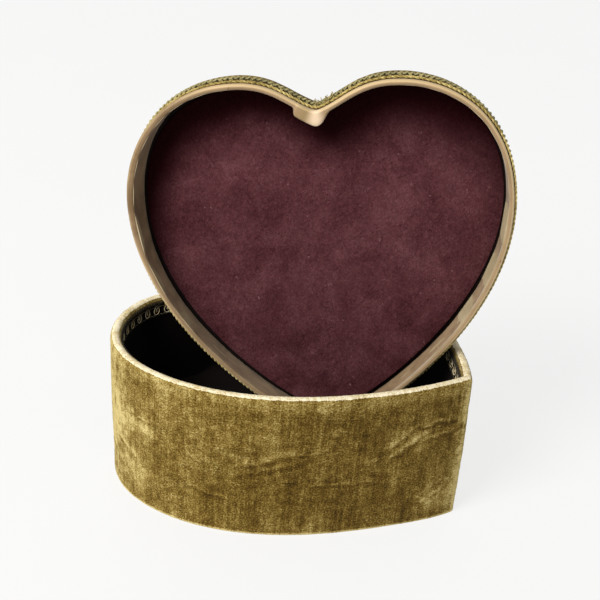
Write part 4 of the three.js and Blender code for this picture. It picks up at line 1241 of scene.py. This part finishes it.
def add_lid_panel():
    outline = Outline(480)
    fuller = np.exp(-(((outline.along - 185 * MM) / (70 * MM)) ** 2))
    outline.points = outline.at(1.9 * MM * fuller - 1.0 * MM * slack_side(outline))
    edge = 0.35 * MM
    border = 26 * MM
    flats = [scaled_ring(outline, PANEL_COVER_OUTLINE - border, share) for share in np.linspace(0, 1, 9)]
    flats += [outline.at(PANEL_COVER_OUTLINE - inset) for inset in np.linspace(border, edge, 20)[1:]]
    rings, shades = [], []
    for flat in flats:
        sag = ripple(in_lid(flat, 0), 45 * MM, 2.9) * 0.12 * MM
        sag = sag * smoothstep(0, 3 * MM, inside_outline(flat, outline))
        rings.append(in_lid(flat, panel_level(flat) + sag))
        shades.append(panel_shade(flat, outline))
    thick = PANEL_FRONT - PANEL_BACK
    for inset, down in ((edge * 0.3, edge * 0.3), (0, edge), (0, thick)):
        flat = outline.at(PANEL_COVER_OUTLINE - inset)
        rings.append(in_lid(flat, panel_level(flat) - down))
        shades.append(shades[-1])
    for share in (0.9, 0.7, 0.45, 0.2, 0.0):
        flat = scaled_ring(outline, PANEL_COVER_OUTLINE, share)
        rings.append(in_lid(flat, panel_level(flat) - thick))
        shades.append(np.zeros(outline.count))
    obj, ring, column = loft("lid_panel_cover", rings, closed=False)
    set_mask(obj, "shade", np.array(shades)[ring, column])
    finish_piece(obj, "lid", material("leatherette"), "leatherette", "lid_panel")


PAD_COLUMNS = 480
# How large each ring of the pad is, from its edge to its middle.
PAD_SHARES = (
    *(1.0, 0.985, 0.965, 0.94, 0.91, 0.875, 0.835, 0.79),
    *(0.73, 0.66, 0.58, 0.5, 0.4, 0.3, 0.2, 0.1, 0.0),
)


def add_lid_pad():
    outline = Outline(PAD_COLUMNS)
    rings, reach = [], np.linalg.norm(outline.at(LID_VELVET) - np.array(PAD_CENTRE), axis=1)
    centre = in_lid(np.array([PAD_CENTRE]), PAD_BACK)[0]
    way = outline.along
    for level in np.linspace(-(SKIRT + 0.2 * MM), PAD_BACK - 0.4 * MM, 12):
        base = in_lid(outline.at(LID_VELVET), level)
        waves = ripple(base, 30 * MM, 1.9) * 0.2 * MM + ripple(base, 2.6 * MM, 5.7) * 0.1 * MM
        rings.append(in_lid(softened(outline.at(LID_VELVET + waves)), level))
    for share in PAD_SHARES:
        inset = (1 - share) * reach
        rise = PAD_DEPTH * (1 - np.exp(-inset / PAD_ROUND)) + 0.4 * MM
        flat = scaled_ring(outline, LID_VELVET, share)
        base = in_lid(flat, 0)
        gather = np.sin(way / (11 * MM) * 2 * math.pi + 3 * ripple(base, 60 * MM, 6.1))
        gather = gather * 0.35 * MM * np.exp(-((inset - 5 * MM) / (6 * MM)) ** 2)
        waves = ripple(base, 34 * MM, 4.9) * 0.7 * MM * smoothstep(0, 20 * MM, inset)
        pile = ripple(base, 2.6 * MM, 5.7) * 0.1 * MM
        rings.append(in_lid(softened(flat), PAD_BACK - rise + gather + waves + pile))
    hollow = 1.0 * MM
    for share in (0.0, 0.5, 0.9):
        rings.append(in_lid(scaled_ring(outline, LID_VELVET_INNER, share), PAD_BACK + 0.05 * MM))
    rings.append(in_lid(outline.at(LID_VELVET_INNER), PAD_BACK + 0.05 * MM))
    rings.append(in_lid(outline.at(LID_VELVET_INNER), -(SKIRT + hollow)))
    obj, ring, column = loft("lid_pad", rings)
    co = np.array([v.co for v in obj.data.vertices])
    set_mask(obj, "worn", np.zeros(len(co)))
    # Painted shade: the pile round the pad's side, under the braid, darkens to near-black.
    set_mask(obj, "dim", np.where(ring < 7, 0.9, 0.0))
    set_mask(obj, "crushed", 0.5 + 0.3 * ripple(co, 30 * MM, 6.4, 3))
    finish_piece(obj, "lid", material("lid_velvet"), "velvet", "lid_velvet", "lid_wadding", smooth=60)
    return centre


# ---------------------------------------------------------------- the winding key

KEY_PLACE = Vector((-16, 19.5, 1.4)) * MM
KEY_HALF_WIDTH = 11.5 * MM
KEY_LOBE = 3.7 * MM
KEY_WAIST = 0.3
KEY_HALF_THICKNESS = 0.8 * MM
KEY_EYE = 1.8 * MM
KEY_HUB = (3.2 * MM, 2.6 * MM, 8.6 * MM)
KEY_BORE = (1.7 * MM, 3.8 * MM)
KEY_EDGE = 0.25 * MM


def bow_outline(count=96):
    """The key's two wings, seen flat: round at both ends and waisted at the hub."""
    turn = np.arange(count) * (2 * math.pi / count)
    flank = KEY_HALF_WIDTH - KEY_LOBE
    across = KEY_LOBE * np.cos(turn) + flank * np.clip(1.6 * np.cos(turn), -1, 1)
    waist = 1 - KEY_WAIST * np.cos(np.clip(across / flank, -1, 1) * math.pi / 2) ** 2
    return np.stack([across, KEY_LOBE * np.sin(turn) * waist], axis=1)


def joined(obj, tool, operation):
    """The object with a tool cut from it or added to it."""
    pick(obj)
    step = obj.modifiers.new("shape", "BOOLEAN")
    step.object, step.operation, step.solver = tool, operation, "EXACT"
    bpy.ops.object.modifier_apply(modifier=step.name)
    bpy.data.objects.remove(tool)
    return obj


def in_order(obj):
    """Puts a cut mesh's points and faces in one settled order, so that every run bevels it alike."""
    points = np.round([v.co for v in obj.data.vertices], 7)
    order = np.lexsort(points.T)
    renamed = np.argsort(order)
    faces = []
    for face in obj.data.polygons:
        corners = [int(renamed[v]) for v in face.vertices]
        first = corners.index(min(corners))
        faces.append(corners[first:] + corners[:first])
    obj.data.clear_geometry()
    obj.data.from_pydata(points[order].tolist(), [], sorted(faces))
    obj.data.update()


def key_rod(radius, low, high, across=False, side=0.0):
    """A cylinder on the key's axis, or through one of its wings."""
    clear_selection()
    depth = high - low
    where = (side, 0, KEY_LOBE) if across else (0, 0, (low + high) / 2)
    inner_side_shade = (math.pi / 2, 0, 0) if across else (0, 0, 0)
    bpy.ops.mesh.primitive_cylinder_add(
        vertices=48, radius=radius, depth=depth, location=where, rotation=inner_side_shade
    )
    rod = bpy.context.object
    bpy.ops.object.transform_apply(location=True, rotation=True, scale=True)
    return rod


def add_winding_key():
    flat = bow_outline()
    rings = [
        np.column_stack([flat[:, 0], np.full(len(flat), away), flat[:, 1] + KEY_LOBE])
        for away in (-KEY_HALF_THICKNESS, KEY_HALF_THICKNESS)
    ]
    obj, _, _ = loft("butterfly_key", rings, closed=False)

    def close_faces():
        bpy.ops.mesh.select_all(action="DESELECT")
        bpy.ops.mesh.select_non_manifold()
        bpy.ops.mesh.fill_holes(sides=0)

    edit(obj, close_faces)
    edit(obj, lambda: bpy.ops.mesh.normals_make_consistent(inside=False))
    for side in (-1, 1):
        eye = key_rod(KEY_EYE, -2 * MM, 2 * MM, across=True, side=side * (KEY_HALF_WIDTH - KEY_LOBE))
        joined(obj, eye, "DIFFERENCE")
    joined(obj, key_rod(*KEY_HUB), "UNION")
    joined(obj, key_rod(KEY_BORE[0], KEY_BORE[1], KEY_HUB[2] + 1 * MM), "DIFFERENCE")
    in_order(obj)
    pick(obj)
    edges = obj.modifiers.new("edges", "BEVEL")
    edges.width, edges.segments, edges.limit_method = KEY_EDGE, 3, "ANGLE"
    edges.angle_limit = math.radians(50)
    bpy.ops.object.modifier_apply(modifier=edges.name)
    bpy.ops.transform.translate(value=KEY_PLACE)
    bpy.ops.object.transform_apply(location=True, rotation=True, scale=True)
    finish_piece(obj, "winder", material("plated"), "nickel_plate", "winding_key", smooth=40)


# ---------------------------------------------------------------- nodes that keep their solids

KEPT = {
    "board": ("base_board", "carrier_board", "base_spacer", "lid_wall_card"),
    "dark_board": ("lid_board", "false_floor", "floor_ledge"),
    "lining": ("floor_paper",),
    "kraft": ("underside_paper", "key_well"),
    "steel": (
        "mounting_screw_1",
        "mounting_screw_2",
        "mounting_screw_3",
        "mainspring",
        "winding_arbor",
        "arbor_nut",
        "cylinder_arbor",
        "comb",
        "comb_screw_1",
        "comb_screw_2",
        "governor_arbor",
        "worm_shaft",
        "stop_arm",
        "stop_tab",
    ),
    "brass": (
        "spring_housing",
        "housing_cap",
        "great_wheel",
        "cylinder",
        "cylinder_wheel",
        "worm_wheel",
        "fan",
    ),
    "plated": (
        "bedplate",
        "comb_block",
        "bearing_left",
        "bearing_right",
        "governor_bracket",
    ),
}


def finish_kept_nodes():
    for name, nodes in KEPT.items():
        for node in nodes:
            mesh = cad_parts[node].data
            mesh.materials.clear()
            mesh.materials.append(material(name))


# ---------------------------------------------------------------- stage

CAMERA_TARGET = Vector((10.9, 16.0, 98.2)) * MM
CAMERA_DISTANCE = 695.7 * MM
CAMERA_AZIMUTH = math.radians(-62.5)
CAMERA_ELEVATION = math.radians(27.8)
CAMERA_ROLL = math.radians(4.4)
CAMERA_LENS = 70.2
# Direction round the object, height above it and distance in metres.
KEY_LIGHT_FROM = (math.radians(-107), math.radians(39), 2.6)
KEY_LIGHT_SIZE = 1.2
KEY_LIGHT_COLOUR = (1.0, 0.985, 0.96)


def aimed_from(azimuth, elevation, distance):
    """The place of something that looks at the object from a direction round it."""
    level = math.cos(elevation)
    back = Vector((math.sin(azimuth) * level, -math.cos(azimuth) * level, math.sin(elevation)))
    facing = (-back).to_track_quat("-Z", "Y").to_matrix().to_4x4()
    return Matrix.Translation(CAMERA_TARGET + back * distance) @ facing


def add_camera():
    clear_selection()
    bpy.ops.object.camera_add()
    camera = named("camera")
    aimed = aimed_from(CAMERA_AZIMUTH, CAMERA_ELEVATION, CAMERA_DISTANCE)
    camera.matrix_world = aimed @ Matrix.Rotation(CAMERA_ROLL, 4, "Z")
    camera.data.sensor_width = 36
    camera.data.lens = CAMERA_LENS
    camera.data.clip_start = 0.01
    bpy.context.scene.camera = camera


def add_light(name, azimuth, elevation, distance, size, power, colour):
    """A soft square light that faces the object from a direction round it."""
    clear_selection()
    bpy.ops.object.light_add(type="AREA")
    light = named(name)
    light.matrix_world = aimed_from(azimuth, elevation, distance)
    light.data.size = size
    light.data.energy = power
    light.data.color = colour


def add_floor(settings):
    clear_selection()
    bpy.ops.mesh.primitive_circle_add(vertices=96, radius=6, fill_type="NGON")
    floor = named("floor")
    made, tree, shader = new_material("pale_floor")
    cloud = tree.noise(tree.place("Object"), 9, 3, 0.5)
    dimmer = tuple(0.97 * c for c in settings.floor)
    tree.feed(
        shader.inputs["Base Color"], tree.ramp(cloud, (0.3, dimmer), (0.7, tuple(settings.floor)))
    )
    shader.inputs["Roughness"].default_value = 0.6
    shader.inputs["Emission Color"].default_value = (1, 1, 0.995, 1)
    shader.inputs["Emission Strength"].default_value = settings.glow
    floor.data.materials.append(made)


def add_world(settings):
    world = bpy.data.worlds.new("studio")
    world.use_nodes = True
    shade = world.node_tree.nodes["Background"]
    shade.inputs["Color"].default_value = (1, 1, 1, 1)
    shade.inputs["Strength"].default_value = settings.sky
    bpy.context.scene.world = world
    bpy.context.scene.view_settings.view_transform = "Standard"
    bpy.context.scene.view_settings.look = "None"


# ---------------------------------------------------------------- the add-on


def colour_property(name, description, colour):
    return bpy.props.FloatVectorProperty(
        name=name, description=description, subtype="COLOR", size=3, min=0, max=1, default=colour
    )


class VelvetSettings(bpy.types.PropertyGroup):
    deep: colour_property("Deep pile", "Velvet where the nap stands up", srgb(44, 30, 4))
    pile: colour_property("Pile", "Velvet's usual colour", srgb(84, 62, 15))
    crushed: colour_property("Crushed", "Velvet where the nap lies over", srgb(128, 106, 50))
    highlight: colour_property("Highlight", "Velvet at its lightest", srgb(192, 174, 116))
    worn: colour_property("Worn", "Cloth where the pile is rubbed off", srgb(234, 224, 196))
    worn_dark: colour_property("Worn shade", "Rubbed cloth between its threads", srgb(186, 166, 112))


class StageSettings(bpy.types.PropertyGroup):
    floor: colour_property("Floor", "Colour of the floor", (0.13, 0.13, 0.13))
    glow: bpy.props.FloatProperty(
        name="Floor glow", description="How far the floor is lit from below", default=0.77, min=0, max=2
    )
    sky: bpy.props.FloatProperty(
        name="Sky", description="Strength of the light from all round", default=0.5, min=0, max=5
    )
    key: bpy.props.FloatProperty(
        name="Key light", description="Power of the main soft light", default=84, min=0, max=500, unit="POWER"
    )


class MusicBoxSettings(bpy.types.PropertyGroup):
    velvet: bpy.props.PointerProperty(type=VelvetSettings)
    stage: bpy.props.PointerProperty(type=StageSettings)


class MUSICBOX_OT_stage(bpy.types.Operator):
    """Adds the floor, the lights, the sky and the camera"""

    bl_idname = "musicbox.stage"
    bl_label = "Stage"

    def execute(self, context):
        settings = context.scene.music_box.stage
        add_camera()
        add_floor(settings)
        add_world(settings)
        add_light("key_light", *KEY_LIGHT_FROM, KEY_LIGHT_SIZE, settings.key, KEY_LIGHT_COLOUR)
        return {"FINISHED"}


class MUSICBOX_OT_box_velvet(bpy.types.Operator):
    """Adds the box's velvet cover with its rolled rim and hem"""

    bl_idname = "musicbox.box_velvet"
    bl_label = "Box velvet"

    def execute(self, context):
        add_box_velvet()
        return {"FINISHED"}


class MUSICBOX_OT_box_lining(bpy.types.Operator):
    """Adds the box's card wall and the lining paper inside it"""

    bl_idname = "musicbox.box_lining"
    bl_label = "Box card and lining"

    def execute(self, context):
        add_wall_card()
        add_box_lining()
        return {"FINISHED"}


class MUSICBOX_OT_braids(bpy.types.Operator):
    """Adds the scroll gimp inside the box and round the lid"""

    bl_idname = "musicbox.braids"
    bl_label = "Braids"

    def execute(self, context):
        add_box_braid()
        add_lid_braid()
        return {"FINISHED"}


class MUSICBOX_OT_lid_binding(bpy.types.Operator):
    """Adds the satin binding over the lid's wall"""

    bl_idname = "musicbox.lid_binding"
    bl_label = "Lid binding"

    def execute(self, context):
        add_lid_binding()
        return {"FINISHED"}


class MUSICBOX_OT_lid_panel(bpy.types.Operator):
    """Adds the leatherette panel in the lid"""

    bl_idname = "musicbox.lid_panel"
    bl_label = "Lid panel"

    def execute(self, context):
        add_lid_panel()
        return {"FINISHED"}


class MUSICBOX_OT_lid_pad(bpy.types.Operator):
    """Adds the padded velvet top of the lid"""

    bl_idname = "musicbox.lid_pad"
    bl_label = "Lid pad"

    def execute(self, context):
        add_lid_pad()
        return {"FINISHED"}


class MUSICBOX_OT_winding_key(bpy.types.Operator):
    """Adds the winding key under the box"""

    bl_idname = "musicbox.winding_key"
    bl_label = "Winding key"

    def execute(self, context):
        add_winding_key()
        return {"FINISHED"}


class MUSICBOX_OT_kept_nodes(bpy.types.Operator):
    """Gives the boards, papers and movement their materials"""

    bl_idname = "musicbox.kept_nodes"
    bl_label = "Boards and movement"

    def execute(self, context):
        finish_kept_nodes()
        return {"FINISHED"}


class MUSICBOX_PT_panel(bpy.types.Panel):
    """Lists the music box's pieces"""

    bl_idname = "MUSICBOX_PT_panel"
    bl_label = "Music Box"
    bl_space_type = "VIEW_3D"
    bl_region_type = "UI"
    bl_category = "Music Box"

    def draw(self, context):
        for operator in OPERATORS:
            self.layout.operator(operator.bl_idname)


OPERATORS = (
    MUSICBOX_OT_stage,
    MUSICBOX_OT_box_velvet,
    MUSICBOX_OT_box_lining,
    MUSICBOX_OT_braids,
    MUSICBOX_OT_lid_binding,
    MUSICBOX_OT_lid_panel,
    MUSICBOX_OT_lid_pad,
    MUSICBOX_OT_winding_key,
    MUSICBOX_OT_kept_nodes,
)
CLASSES = (VelvetSettings, StageSettings, MusicBoxSettings, *OPERATORS, MUSICBOX_PT_panel)


def register():
    for cls in CLASSES:
        bpy.utils.register_class(cls)
    bpy.types.Scene.music_box = bpy.props.PointerProperty(type=MusicBoxSettings)


def unregister():
    del bpy.types.Scene.music_box
    for cls in reversed(CLASSES):
        bpy.utils.unregister_class(cls)


def main():
    register()
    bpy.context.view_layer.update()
    for operator in OPERATORS:
        group, name = operator.bl_idname.split(".")
        getattr(getattr(bpy.ops, group), name)()


if __name__ == "__main__":
    main()
